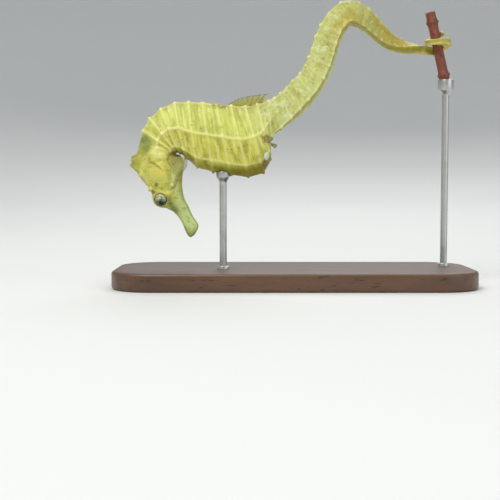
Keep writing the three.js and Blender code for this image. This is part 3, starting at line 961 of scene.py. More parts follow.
@dataclass(frozen=True)
class SkinFinish:
    """Moist satin skin over bony rings: lemon yellow with pale ridges, olive hollows and brown flecks; the
    ridges' pale is partly painted highlight, the hollows' olive partly painted shade, and the belly, nape,
    throat and far tail carry painted shade.
    """

    upper: Colour = (0.61, 0.66, 0.125)
    lower: Colour = (0.68, 0.65, 0.10)
    tail: Colour = (0.53, 0.57, 0.20)
    tail_pale: Colour = (0.68, 0.73, 0.42)
    # far_tail: painted shade on the tail past its bend and on the inside of the bend
    far_tail: Colour = (0.46, 0.37, 0.05)
    head: Colour = (0.60, 0.57, 0.10)
    snout: Colour = (0.52, 0.65, 0.24)
    # pale: lighter marks, and on the ridges partly painted highlight
    pale: Colour = (0.83, 0.80, 0.30)
    olive: Colour = (0.33, 0.31, 0.035)
    # nape: painted shade at the back of the neck and under the snout's root; also a little darker over the
    # coronet
    nape: Colour = (0.13, 0.19, 0.035)
    # under: painted shade on the belly and the tail's underside, over a browner tone of their own
    under: Colour = (0.26, 0.23, 0.012)
    # brown: flecks, and painted shade in the throat's corner and at the trunk's rear
    brown: Colour = (0.17, 0.11, 0.02)
    orange: Colour = (0.84, 0.58, 0.10)
    white: Colour = (0.70, 0.77, 0.58)

    def material(self) -> bpy.types.Material:
        """The skin's material, steered by the values stored on the mesh.

        Returns:
            The material.
        """
        s = Shader("seahorse_skin")
        read = {name: s.attribute(name) for name in Skin.VALUES}
        mottle = s.noise(2.4, 4.0, 0.6)
        grain = s.noise(0.6, 4.0, 0.65)
        ring_way = s.node("ShaderNodeCombineXYZ", {}, {0: s.attribute("along"), 1: s.attribute("turn")})
        streak = self._streaks(s, ring_way, 4.6, 1.2)
        broad = self._streaks(s, ring_way, 1.9, 1.5)
        colour = s.mix(self.upper, self.lower, (read["below"] + (mottle - 0.5) * 0.6).clamp())
        colour = s.mix(colour, self.tail, read["tail"])
        # Painted shade on the tail past its bend and inside the bend.
        colour = s.mix(colour, self.far_tail, read["far"])
        colour = s.mix(colour, self.head, (read["head"] * (0.7 + 0.6 * (mottle - 0.2))).clamp())
        colour = s.mix(colour, self.snout, (read["snout"] * (0.75 + 0.5 * grain)).clamp())
        colour = s.mix(colour, self.olive, (read["green"] * (mottle * 1.5 + broad * 0.8 - 0.65)).clamp())
        # The hollows between rings: olive partly of the skin's own, partly painted shade.
        body = read["groove"]
        hollow = body * streak.smooth(0.44, 0.68) * (0.50 + 0.3 * read["below"])
        colour = s.mix(colour, self.olive, hollow.clamp())
        colour = s.mix(colour, self.pale, (body * streak.smooth(0.50, 0.34) * 0.6).clamp())
        colour = s.mix(colour, self.olive, broad.smooth(0.50, 0.72) * (0.46 + 0.25 * read["below"]))
        patch = s.noise(5.0, 4.0, 0.65).smooth(0.48, 0.68)
        colour = s.mix(colour, self.olive, patch * (0.42 + 0.42 * read["head"]).clamp())
        cloud = s.noise(1.2, 4.0, 0.7).smooth(0.52, 0.70)
        colour = s.mix(colour, self.olive, cloud * (0.16 + 0.30 * read["tail"]))
        blotch = s.noise(3.2, 3.0, 0.6).smooth(0.54, 0.66)
        colour = s.mix(colour, self.tail_pale, blotch * read["tail"] * (1 - read["far"]) * 0.6)
        # Paler on the ridges and spines: partly their own pale tone, partly painted highlight.
        raised = (read["ridge"] * (broad * 1.5 + 0.10)).clamp()
        colour = s.mix(colour, self.pale, raised * (1 - 0.6 * read["far"]))
        colour = s.mix(colour, self.pale, s.noise(0.8, 3.0).smooth(0.58, 0.72) * 0.4)
        # Painted shade at the nape and under the snout's root, and some over the coronet.
        colour = s.mix(colour, self.nape, (read["nape"] * (mottle * 1.2 + 0.25)).clamp())
        # Painted shade on the belly and the tail's underside, partly their own browner tone.
        colour = s.mix(colour, self.under, (read["under"] * (0.50 + 0.9 * mottle)).clamp())
        speck = (s.cells(1.5) + (grain - 0.5) * 0.9 + (cloud - 0.5) * 0.12).smooth(0.22, 0.04)
        speck = speck * s.noise(6.0).smooth(0.44, 0.60) * (0.3 + mottle)
        # Brown flecks and specks, and the painted shade of the throat's corner and the trunk's rear.
        fleck = (read["fleck"] + (mottle - 0.5) * 0.9 + (grain - 0.5) * 1.0).smooth(0.20, 1.0)
        fleck = (fleck * read["fleck"].smooth(0.05, 0.3) + speck * 0.75).clamp()
        colour = s.mix(colour, self.brown, fleck * 0.85)
        orange = (read["orange"] + (mottle - 0.5) * 1.6 + (grain - 0.5) * 0.8).smooth(0.1, 1.1)
        orange = orange * read["orange"].smooth(0.0, 0.6)
        colour = s.mix(colour, self.orange, orange)
        white = (read["white"] + (grain - 0.5) * 0.5).smooth(0.15, 0.8) * read["white"].smooth(0.0, 0.3)
        colour = s.mix(colour, self.white, white)
        pore = s.cells(0.32)
        wrinkle = s.noise(0.45, 5.0, 0.65)
        height = wrinkle * 0.7 + pore * 0.25 + streak * read["groove"] * 0.8
        return s.surface(
            Base_Color=colour,
            Roughness=(0.36 + 0.26 * grain).clamp(),
            Normal=s.bump(height, 0.12, 0.7),
            Subsurface_Weight=0.22,
            Subsurface_Radius=(1.0, 0.75, 0.25),
            Subsurface_Scale=0.0012,
            Specular_IOR_Level=0.45,
        )

    @staticmethod
    def _streaks(shader: Shader, way: Wire, along: float, around: float) -> Wire:
        """Noise over the skin, scaled along the body and round it.

        Args:
            shader: The tree.
            way: The place along the body and round it.
            along: Scale along the body.
            around: Scale round it.

        Returns:
            The noise.
        """
        stretched = shader.scaled(way, (along, around, 1.0))
        return shader.node("ShaderNodeTexNoise", {}, {"Vector": stretched, "Scale": 1.0, "Detail": 3.0})


class Skin:
    """The one skin of the animal, from its lips to the tip of its tail."""

    VALUES = (
        "below", "tail", "far", "head", "snout", "green", "groove",
        "ridge", "nape", "under", "fleck", "orange", "white",
    )
    COLUMNS = (16, 32, 28, 20)  # from corner to corner of half a section
    HEAD_SPACING = 0.24
    TRUNK_SPACING = 0.27
    TAIL_SPACING = 0.30
    RIDGES = ((0.16, 0.26), (0.26, 0.0), (0.20, 0.24), (0.10, 0.0))  # trunk and tail, by corner
    SPINES = ((0.24, 0.62), (0.24, 0.0), (0.26, 0.36), (0.46, 0.0))
    NECK_SPINES = (0.62, 0.30, 0.16, 0.0)
    CROWDED = 0.15  # gap between rings, as a share of its mean round a section, where relief ends
    ROOMY = 0.62  # the same, where all of the relief stands
    TAIL_ROOMY = 0.95  # ROOMY on the tail, whose bend is tighter
    TIP_SMOOTH = 1.6  # length of the tail's tip that loses its relief
    BEND = (34.2, 0.9)  # place of the tail's tightest bend, and its reach
    BEND_PASSES = 60
    BEND_TURNS = (2.3, 2.8)  # round the section, where the spreading sets in
    BEND_SHADE = 0.9
    BEND_SHADE_REACH = 3.0
    BEND_SHADE_TURNS = (1.0, 2.5)
    SNOUT_COLOUR = (3.0, 5.5)  # places over which a colour or the spines change
    TAIL_COLOUR = (19.0, 23.0)
    FAR_COLOUR = (33.0, 40.0)
    # The belly's painted shade widens and darkens over these places.
    BELLY_WIDENS = (18.0, 20.5)
    BELLY_DARKENS = (15.5, 18.5)
    SPINES_FADE = (24.5, 28.5)
    RAISED = 0.4  # height of the head's relief that counts as fully raised
    MOUTH_RINGS = ((0.25, 1.1), (0.45, 0.8), (0.55, 0.15), (0.68, -0.16), (0.86, -0.14))  # size, depth
    HEAD_RIDGES = (
        Line(((-46.6, 31.2), (-48.4, 34.4), (-50.4, 38.4)), 0.5, 0.30),
        Line(((-41.9, 30.4), (-40.2, 33.6), (-39.4, 36.6)), 0.6, 0.20),
        Line(((-42.2, 27.4), (-38.3, 24.3), (-35.2, 19.6)), 0.5, 0.12),
        Line(((-49.9, 39.6), (-48.2, 42.6), (-47.4, 45.6)), 0.6, 0.18),
    )
    HEAD_SPINES = (
        Spot(-47.2, 32.5, 1.1, 1.1, 0.75),
        Spot(-40.1, 33.7, 1.1, 1.1, 0.45),
        Spot(-50.6, 37.0, 1.1, 1.1, 0.6),
        Spot(-41.4, 26.2, 0.9, 0.9, 0.25),
    )
    GILL = Spot(-43.0, 36.6, 4.9, 4.9)
    SHOULDER = Spot(-44.6, 44.4, 3.4, 2.7, 0.45)
    MOUTH = Line(((-33.9, 16.5), (-33.4, 17.7), (-33.2, 19.0)), 0.17)
    LIP_ROUNDING = 1.1
    LIP_SHARE = 0.62  # of the snout's section, left at the lips
    TIP_ROUNDING = 0.6
    OUTLINE_PASSES = 3  # that soften the corners of a section
    GILL_DOME = 0.70
    GILL_GROOVE = 0.16
    GILL_EDGE = (1.02, 0.08)  # where the groove runs, and its width, as shares of the cover's reach
    RIM_CREST = 0.20  # above the eyeball's surface at the rim
    RIM_SLOPE = 0.42
    RIM_FOLDS = ((0.62, 0.12), (1.0, 0.07))  # way out from the rim, depth
    RIM_FOLD_WIDTH = 0.13
    RIM_PLEATS = 26
    RIM_PLEAT_HEIGHT = 0.035
    SOCKET_DEPTH = 0.75
    RIM_REACH = (2.4, 3.7)
    RING_HEIGHT = (0.24, 0.11)  # on the trunk and on the tail
    VALLEY_DEPTH = (0.20, 0.11)
    RING_WIDTH = 0.40
    RIDGE_WIDTH = 0.5
    SPINE_REACH = 1.15
    RIBS = 4  # from ring to ring
    LEAST_RELIEF = 0.25  # share of it left where the body is thinnest
    RIB_HEIGHT = 0.05
    GILL_FAN = (-40.5, 31.5)  # where the gill cover's fine lines spread from
    GILL_LINES = 46
    GILL_LINE_HEIGHT = 0.05
    MOUTH_DEPTH = 0.22
    # Painted shade at the back of the neck.
    NAPE_SHADE = Spot(-49.4, 47.4, 3.6, 4.4, 0.85)
    NOSTRIL = Spot(-42.3, 26.3, 0.5, 0.5, 0.35)
    FLECKS_AND_SHADE = (
        Spot(-33.5, 53.2, 0.7, 0.5, 0.8), Spot(-30.5, 52.1, 0.5, 0.5, 0.8), Spot(-15.3, 50.4, 0.4, 0.4, 0.8),
        Spot(-32.6, 45.8, 0.5, 0.5, 0.7), Spot(-29.4, 41.3, 0.5, 0.7, 0.7), Spot(-22.8, 47.1, 0.4, 0.4, 0.7),
        Spot(-34.4, 17.0, 1.7, 1.3, 0.4),
        Spot(-46.3, 31.4, 0.9, 0.9, 1.0), Spot(-45.4, 34.0, 1.2, 1.4, 0.7), Spot(-43.6, 32.4, 0.9, 0.7, 0.7),
        # Painted shade, not flecks: (-39.6, 42.6) and (-37.6, 36.5) in the throat's corner, and (-9.5, 40.6)
        # at the trunk's rounded rear.
        Spot(-39.6, 42.6, 3.6, 3.4, 1.0), Spot(-8.9, 48.6, 2.8, 2.6, 0.75),
        Spot(-9.5, 40.6, 2.2, 2.2, 0.7), Spot(-25.2, 59.6, 5.5, 1.5, 0.6), Spot(-47.4, 42.6, 0.8, 1.3, 0.5),
        Spot(-15.8, 60.2, 7.0, 1.6, 0.45), Spot(-37.6, 36.5, 1.6, 5.0, 0.5),
        Spot(-48.6, 38.2, 1.2, 1.6, 0.35),
    )
    RIM_STAIN = Line(((-47.2, 41.2), (-45.6, 40.6), (-44.1, 39.3), (-43.1, 38.2)), 0.55, 0.85)
    # Painted shade under the snout's root, in front of the eye.
    LORE_SHADE = Line(((-41.6, 29.6), (-40.6, 27.4), (-39.2, 25.3)), 1.0, 0.95)
    BLOTCH = Spot(-43.9, 37.9, 3.0, 1.7, 0.62)
    VENT = Spot(-9.2, 43.2, 1.2, 1.9, 0.9)
    PALE = Spot(-44.7, 44.4, 3.6, 2.6, 0.85)
    FIN_BASE = Spot(-16.2, 60.4, 8.5, 3.8, 1.0)
    CHEEK_STREAK = Line(((-37.4, 29.0), (-39.4, 33.5), (-39.8, 37.0)), 1.5, 0.8)

    def __init__(self, anatomy: Anatomy, eyes: tuple[EyePlace, ...], coronet: Coronet) -> None:
        """Works out the skin's points.

        Args:
            anatomy: The animal's shape.
            eyes: Both eyes.
            coronet: The crown.
        """
        self.anatomy = anatomy
        self.eyes = eyes
        self.coronet = coronet
        self.place = self._places()
        self.around = self._columns()
        self.values = {}
        self.points = self._shape()

    def _columns(self) -> np.ndarray:
        """Where the columns run: 0 on the back to 4 on the belly, less than 0 on the left side.

        Returns:
            One value for each column.
        """
        spans = [np.arange(count) / count + corner for corner, count in enumerate(self.COLUMNS)]
        half = np.concatenate(spans)
        return np.concatenate([half, [4.0], -half[:0:-1]])

    def _places(self) -> np.ndarray:
        """Places of the sections, evenly apart on each part of the body.

        Returns:
            The places.
        """
        fine = np.linspace(0.0, self.anatomy.end, 8001)
        sections = self.anatomy.sections(fine)
        back = sections.centre + sections.up * sections.half_depth[:, None]
        pace = [np.linalg.norm(np.diff(line, axis=0), axis=1) for line in (sections.centre, back)]
        marks = (station("crown"), station("trunk4"), self.anatomy.outline_end)
        spacing = np.interp(fine[1:], marks, (self.HEAD_SPACING, self.TRUNK_SPACING, self.TAIL_SPACING))
        count = np.concatenate([[0.0], np.cumsum((pace[0] + pace[1]) / 2 / spacing)])
        return np.interp(np.linspace(0.0, count[-1], round(count[-1])), count, fine)

    def _shape(self) -> np.ndarray:
        """Shapes the skin and keeps the values that steer its colour.

        Returns:
            Points, by section and column.
        """
        sections = self.anatomy.sections(self.place)
        outline = self.anatomy.outline(sections, self.around)
        for _ in range(self.OUTLINE_PASSES):
            outline = (np.roll(outline, 1, 1) + 2 * outline + np.roll(outline, -1, 1)) / 4
        tip = np.linalg.norm(sections.centre - sections.centre[-1], axis=1)
        lips = np.linalg.norm(sections.centre - sections.centre[0], axis=1)
        lips = np.sqrt(1 - (1 - np.clip(lips / self.LIP_ROUNDING, 0.0, 1.0)) ** 2)
        lips = self.LIP_SHARE + (1 - self.LIP_SHARE) * lips
        tip = np.sqrt(1 - (1 - np.clip(tip / self.TIP_ROUNDING, 0.02, 1.0)) ** 2)
        outline *= (lips * tip)[:, None, None]
        points = (
            sections.centre[:, None]
            + sections.side[:, None] * (outline[..., :1] * sections.half_width[:, None, None])
            + sections.up[:, None] * (outline[..., 1:] * sections.half_depth[:, None, None])
        )
        points = self._shape_head(points, sections)
        points += self._relief(points, sections)
        self._ease_fold(points)
        return points

    def _shape_head(self, points: np.ndarray, sections: Sections) -> np.ndarray:
        """Swells the gill covers and shoulders, and raises the coronet and the eyes' rims.

        Args:
            points: The smooth skin.
            sections: Its sections.

        Returns:
            The shaped skin.
        """
        off = points[..., 1] - BODY_PLANE
        facing = smoothstep(np.abs(off) / sections.half_width[:, None], 0.05, 0.5) * np.sign(off)
        near = (self.place < station("trunk5"))[:, None]
        gap = np.hypot(points[..., 0] - self.GILL.x, points[..., 2] - self.GILL.z) / self.GILL.reach_x
        edge, width = self.GILL_EDGE
        dome = self.GILL_DOME * np.clip(1 - gap**2, 0, 1) ** 0.8 - self.GILL_GROOVE * bell(gap - edge, width)
        shoulder = self.SHOULDER.share(points)
        moved = points.copy()
        moved[..., 1] += (dome + shoulder) * facing * near
        lift, crown = self.coronet.raise_skin(moved)
        moved += lift * near[..., None]
        self.crown = crown * near
        self.gill_gap = np.where(near, gap, 9.0)
        self.eye_ring = np.zeros(points.shape[:2])
        for eye in self.eyes:
            moved = self._raise_rim(moved, eye)
        return moved

    def _ease_fold(self, points: np.ndarray) -> None:
        """Spreads the rows evenly on the inside of the tail's bend, where they would fold.

        Args:
            points: The skin, which is changed.
        """
        middle, reach = self.BEND
        near = bell(self.place - middle, reach)[:, None]
        weight = (near * smoothstep(np.abs(self.around), *self.BEND_TURNS)[None, :])[1:-1, :, None]
        for _ in range(self.BEND_PASSES):
            points[1:-1] += weight * 0.5 * ((points[2:] + points[:-2]) / 2 - points[1:-1])

    def _raise_rim(self, points: np.ndarray, eye: EyePlace) -> np.ndarray:
        """Raises the fleshy rim round an eye and sinks the socket under it.

        Args:
            points: The skin.
            eye: The eye.

        Returns:
            The skin with that rim.
        """
        away = points - eye.centre
        ahead = away @ eye.opening
        radial = np.linalg.norm(away - ahead[..., None] * eye.opening, axis=-1)
        side = smoothstep((points[..., 1] - BODY_PLANE) * eye.side.value, 0.1, 1.0)
        on_ball = math.sqrt(eye.radius**2 - eye.rim**2)
        crest = on_ball + self.RIM_CREST
        rise = smoothstep(radial, eye.rim - 0.20, eye.rim + 0.12)
        angle = np.arctan2(away[..., 2], away[..., 0])
        pleat = self.RIM_PLEAT_HEIGHT * np.cos(self.RIM_PLEATS * angle) * bell(radial - eye.rim - 0.35, 0.4)
        fold = sum(deep * bell(radial - eye.rim - out, self.RIM_FOLD_WIDTH) for out, deep in self.RIM_FOLDS)
        outside = crest - self.RIM_SLOPE * np.maximum(radial - eye.rim - 0.18, 0) - fold + pleat
        target = (on_ball - self.SOCKET_DEPTH) * (1 - rise) + outside * rise
        weight = (1 - smoothstep(radial, *self.RIM_REACH)) * side * (ahead > -1.2)
        self.eye_ring = np.maximum(self.eye_ring, bell(radial - eye.rim - 0.2, 0.55) * side)
        return points + eye.opening * ((target - ahead) * weight)[..., None]

    def _relief(self, points: np.ndarray, sections: Sections) -> np.ndarray:
        """Ring ridges, long ridges, spines and the small folds of the head.

        Args:
            points: The shaped skin.
            sections: Its sections.

        Returns:
            How far each point moves.
        """
        along = np.gradient(points, self.place, axis=0)
        beside = np.roll(points, -1, 1) - np.roll(points, 1, 1)
        outward = unit(np.cross(beside, along))
        outward *= np.sign(((points - sections.centre[:, None]) * outward).sum(-1, keepdims=True))
        pace = np.linalg.norm(along, axis=-1)
        turn = np.abs(self.around)
        step = (np.roll(self.around, -1) - np.roll(self.around, 1)) % 8
        span = np.linalg.norm(beside, axis=-1) / step
        place = self.place[:, None]
        ringed = smoothstep(place, station("nape") + 0.2, station("shoulder_ring"))
        taper = np.clip(sections.fade, self.LEAST_RELIEF, 1.0)[:, None]
        taper = np.where(place < self.anatomy.outline_end, 1.0, taper)
        tail = sections.tail[:, None]
        ring_gap = (place - np.round(place)) * pace
        ring_line = bell(ring_gap, self.RING_WIDTH) * ringed
        valley = (1 - np.abs(1 - 2 * (place % 1))) * ringed
        high, low = (kind[0] + (kind[1] - kind[0]) * tail for kind in (self.RING_HEIGHT, self.VALLEY_DEPTH))
        height = high * ring_line - low * valley
        long_line = np.zeros_like(points[..., 0])
        spine = np.zeros_like(long_line)
        for corner, (ridge, point) in enumerate(zip(self.RIDGES, self.SPINES), start=1):
            gap = (turn[None, :] - corner) * span
            strong = ridge[0] + (ridge[1] - ridge[0]) * tail
            line = bell(gap, self.RIDGE_WIDTH) * ringed
            height = height + strong * line
            long_line = np.maximum(long_line, line * np.minimum(strong * 4, 1))
            neck = 1 - smoothstep(np.round(place), station("trunk3"), station("trunk5"))
            tall = point[0] + (self.NECK_SPINES[corner - 1] - point[0]) * neck
            late = tail * (0.35 + 0.65 * smoothstep(place, *self.SPINES_FADE))
            tall = (tall + (point[1] - tall) * late) * (0.8 + 0.4 * np.sin(2.4 * np.round(place) + corner))
            node = np.clip(1 - np.hypot(gap, ring_gap * 1.1) / self.SPINE_REACH, 0, 1) ** 1.6 * ringed
            height = height + tall * node
            spine = np.maximum(spine, node * np.minimum(tall * 3, 1))
        rib = np.cos(2 * np.pi * (self.RIBS * place + 0.35 * np.sin(2.1 * turn + 1.7 * np.round(place))))
        rib = rib * (0.6 + 0.4 * np.sin(3.3 * turn + 5.1 * place)) * (1 - ring_line) * ringed
        even = pace / pace.mean(1, keepdims=True)
        roomy = smoothstep(even, self.CROWDED, self.ROOMY + (self.TAIL_ROOMY - self.ROOMY) * tail)
        to_tip = np.linalg.norm(sections.centre - sections.centre[-1], axis=1)
        roomy = roomy * smoothstep(to_tip, 0.0, self.TIP_SMOOTH)[:, None]
        ribs = self.RIB_HEIGHT * rib * (1 - tail) * (1 - long_line)
        height = (height + ribs) * taper * roomy
        head = 1 - smoothstep(place, station("nape"), station("shoulder_ring"))
        height = height + head * self._head_relief(points)
        self._keep_values(points, sections, ring_line, long_line, spine, valley, head)
        return outward * height[..., None]

    def _head_relief(self, points: np.ndarray) -> np.ndarray:
        """Height of the head's bony ridges, spines and folds.

        Args:
            points: The skin's points.

        Returns:
            The height at each point.
        """
        clear = 1 - self.eye_ring
        ridges = sum(line.share(points) for line in self.HEAD_RIDGES)
        spines = sum(spot.strength * (spot.share(points) / spot.strength) ** 3 for spot in self.HEAD_SPINES)
        angle = np.arctan2(points[..., 2] - self.GILL_FAN[1], points[..., 0] - self.GILL_FAN[0])
        on_gill = (1 - smoothstep(self.gill_gap, 0.55, 0.95)) * (self.gill_gap < 1)
        striae = self.GILL_LINE_HEIGHT * np.cos(self.GILL_LINES * angle) * on_gill
        mouth = self.MOUTH_DEPTH * self.MOUTH.share(points)
        return (ridges + spines) * clear + striae - self.NOSTRIL.share(points) - mouth

    def _keep_values(
        self,
        points: np.ndarray,
        sections: Sections,
        ring_line: np.ndarray,
        long_line: np.ndarray,
        spine: np.ndarray,
        valley: np.ndarray,
        head: np.ndarray,
    ) -> None:
        """Works out the values that steer the skin's colour.

        Args:
            points: The skin.
            sections: Its sections.
            ring_line: Share of the ring ridges.
            long_line: Share of the long ridges.
            spine: Share of the spines.
            valley: Depth between the rings.
            head: Share of the head.
        """
        place, turn, tail = self.place[:, None], np.abs(self.around)[None, :], sections.tail[:, None]
        wide = np.ones_like(ring_line)
        stain = self.RIM_STAIN.share(points) * head
        # Flecks, and painted shade in the throat's corner and at the trunk's rear.
        fleck = np.maximum.reduce([spot.share(points) for spot in self.FLECKS_AND_SHADE])
        in_front = place < self.anatomy.outline_end
        # The belly's and the tail's undersides: painted shade, partly a browner tone of their own, darker
        # towards the trunk's rear.
        on_belly = smoothstep(turn, 3.0 - 0.5 * smoothstep(place, *self.BELLY_WIDENS), 3.45)
        on_belly = on_belly * (0.40 + 0.60 * smoothstep(place, *self.BELLY_DARKENS))
        on_tail = 0.6 * smoothstep(turn, 3.0, 3.9)
        # inside_bend: painted shade on the inside of the tail's bend, added to the far tail's painted shade.
        inside_bend = self.BEND_SHADE * bell(place - self.BEND[0], self.BEND_SHADE_REACH)
        inside_bend = inside_bend * smoothstep(turn, *self.BEND_SHADE_TURNS)
        # Painted shade at the back of the neck and under the snout's root, and a little over the coronet.
        nape = self.NAPE_SHADE.share(points) + 0.35 * self.crown + 0.6 * self.LORE_SHADE.share(points)
        raised = self._head_relief(points) / self.RAISED
        self.values = {
            "below": smoothstep(turn, 1.9, 2.2) * wide,
            "tail": smoothstep(place + 0.5 * (2 - turn), *self.TAIL_COLOUR) * wide,
            # far: painted shade on the tail past its bend and inside the bend.
            "far": np.maximum(smoothstep(place + 0.8 * (2 - turn), *self.FAR_COLOUR), inside_bend) * wide,
            "head": head * wide,
            "snout": np.maximum(
                1 - smoothstep(place, *self.SNOUT_COLOUR), head * self.CHEEK_STREAK.share(points)
            ),
            # green: the olive back, the coronet and the fin's base, and the painted shade under the snout's
            # root.
            "green": np.clip(
                (1 - smoothstep(turn, 0.6, 1.6)) * (0.8 - 0.3 * tail) + 0.6 * self.crown
                + (self.FIN_BASE.share(points) + 1.4 * self.LORE_SHADE.share(points)) * in_front,
                0, 1.4,
            ),
            # groove: the hollows between rings, whose olive is partly painted shade.
            "groove": np.clip(1.3 * valley, 0, 1) * (1 - long_line) * (1 - 0.6 * tail),
            "along": place * wide,
            "turn": self.around[None, :] * wide,
            # ridge: paler on the ridges, spines, the head's relief and the shoulder's bulge; partly their own
            # tone, partly painted highlight.
            "ridge": np.clip(
                0.75 * ring_line * (1 - 0.8 * tail) + 0.85 * long_line * (1 - 0.6 * tail)
                + spine * (1 - 0.4 * tail)
                + head * np.clip(raised, 0, 0.8) * 0.5 + self.PALE.share(points) * head,
                0, 1,
            ),
            # nape: painted shade at the back of the neck and under the snout's root.
            "nape": np.clip(nape, 0, 1) * in_front,
            # under: painted shade on the belly and the tail's underside, partly their own browner tone.
            "under": on_belly * (1 - tail) + on_tail * tail,
            "fleck": np.maximum(np.maximum(fleck, stain) * in_front, 0.35 * self.eye_ring * in_front),
            "orange": (self.BLOTCH.share(points) + 0.4 * stain) * head,
            "white": self.VENT.share(points) * in_front,
        }

    def build(self) -> bpy.types.Object:
        """Makes the skin's mesh, with lips at one end, and half as many columns on the free tail.

        Returns:
            The skin.
        """
        switch = int(np.searchsorted(self.place, self.anatomy.outline_end))
        inward = unit(self.points[4].mean(0) - self.points[0].mean(0))
        centre = self.points[0].mean(0)
        rings, picks = [], []
        for scale, depth in self.MOUTH_RINGS:
            rings.append(centre + (self.points[0] - centre) * scale + inward * depth)
            picks.append((0, 1))
        for row in range(len(self.points)):
            step = 1 if row <= switch else 2
            rings.append(self.points[row, ::step])
            picks.append((row, step))
        values = {
            name: np.concatenate([value[row, ::step] for row, step in picks])
            for name, value in self.values.items()
        }
        sheet = Sheet.rolled(rings, values)
        skin = sheet.build("skin", SkinFinish().material(), 75.0)
        nodes = ("snout", "head", "coronet", "neck", "trunk_front", "trunk_rear")
        return place_piece(skin, "skin", *nodes, *(f"tail_{number}" for number in range(1, 8)))


# ---------- Eyes ----------


@dataclass(frozen=True)
class EyeFinish:
    """A wet eye: a silver ball with dark flecks, a dark pupil and a clear front, and painted shade at its rim
    and over its lower half.
    """

    silver: Colour = (0.50, 0.55, 0.34)
    ring: Colour = (0.46, 0.38, 0.12)
    shadow: Colour = (0.09, 0.10, 0.07)
    fleck: Colour = (0.17, 0.16, 0.06)
    pupil: Colour = (0.004, 0.016, 0.018)

    def ball(self) -> bpy.types.Material:
        """The ball's material, steered by the values stored on the mesh.

        Returns:
            The material.
        """
        s = Shader("seahorse_eyeball")
        edge, iris, pupil = s.attribute("edge"), s.attribute("iris"), s.attribute("pupil")
        cloud = s.noise(0.7, 4.0, 0.6)
        colour = s.mix(self.silver, self.fleck, s.noise(0.9, 3.0, 0.6).smooth(0.42, 0.62) * 0.75)
        colour = s.mix(colour, self.fleck, s.noise(0.25, 3.0, 0.6).smooth(0.50, 0.66) * 0.5)
        colour = s.mix(colour, self.ring, (iris * (1 - iris) * 2.4 * (0.4 + cloud)).clamp())
        # Painted shade at the ball's rim in its socket and over its lower half.
        colour = s.mix(colour, self.shadow, (edge * (0.55 + cloud)).clamp())
        colour = s.mix(colour, self.shadow, (iris * (0.35 + 0.6 * cloud)).clamp())
        colour = s.mix(colour, self.pupil, pupil)
        return s.surface(
            Base_Color=colour,
            Roughness=(0.42 + 0.3 * cloud).clamp(),
            Normal=s.bump(cloud, 0.06, 0.4),
        )

    def front(self) -> bpy.types.Material:
        """The clear front's material.

        Returns:
            The material.
        """
        s = Shader("seahorse_eye_front")
        film = s.noise(0.5, 3.0)
        return s.surface(
            Base_Color=s.mix((0.96, 0.98, 0.97), (0.90, 0.95, 0.93), film),
            Roughness=(0.02 + 0.04 * film).clamp(),
            Normal=s.bump(film, 0.01, 0.3),
            Transmission_Weight=1.0,
            IOR=1.34,
        )


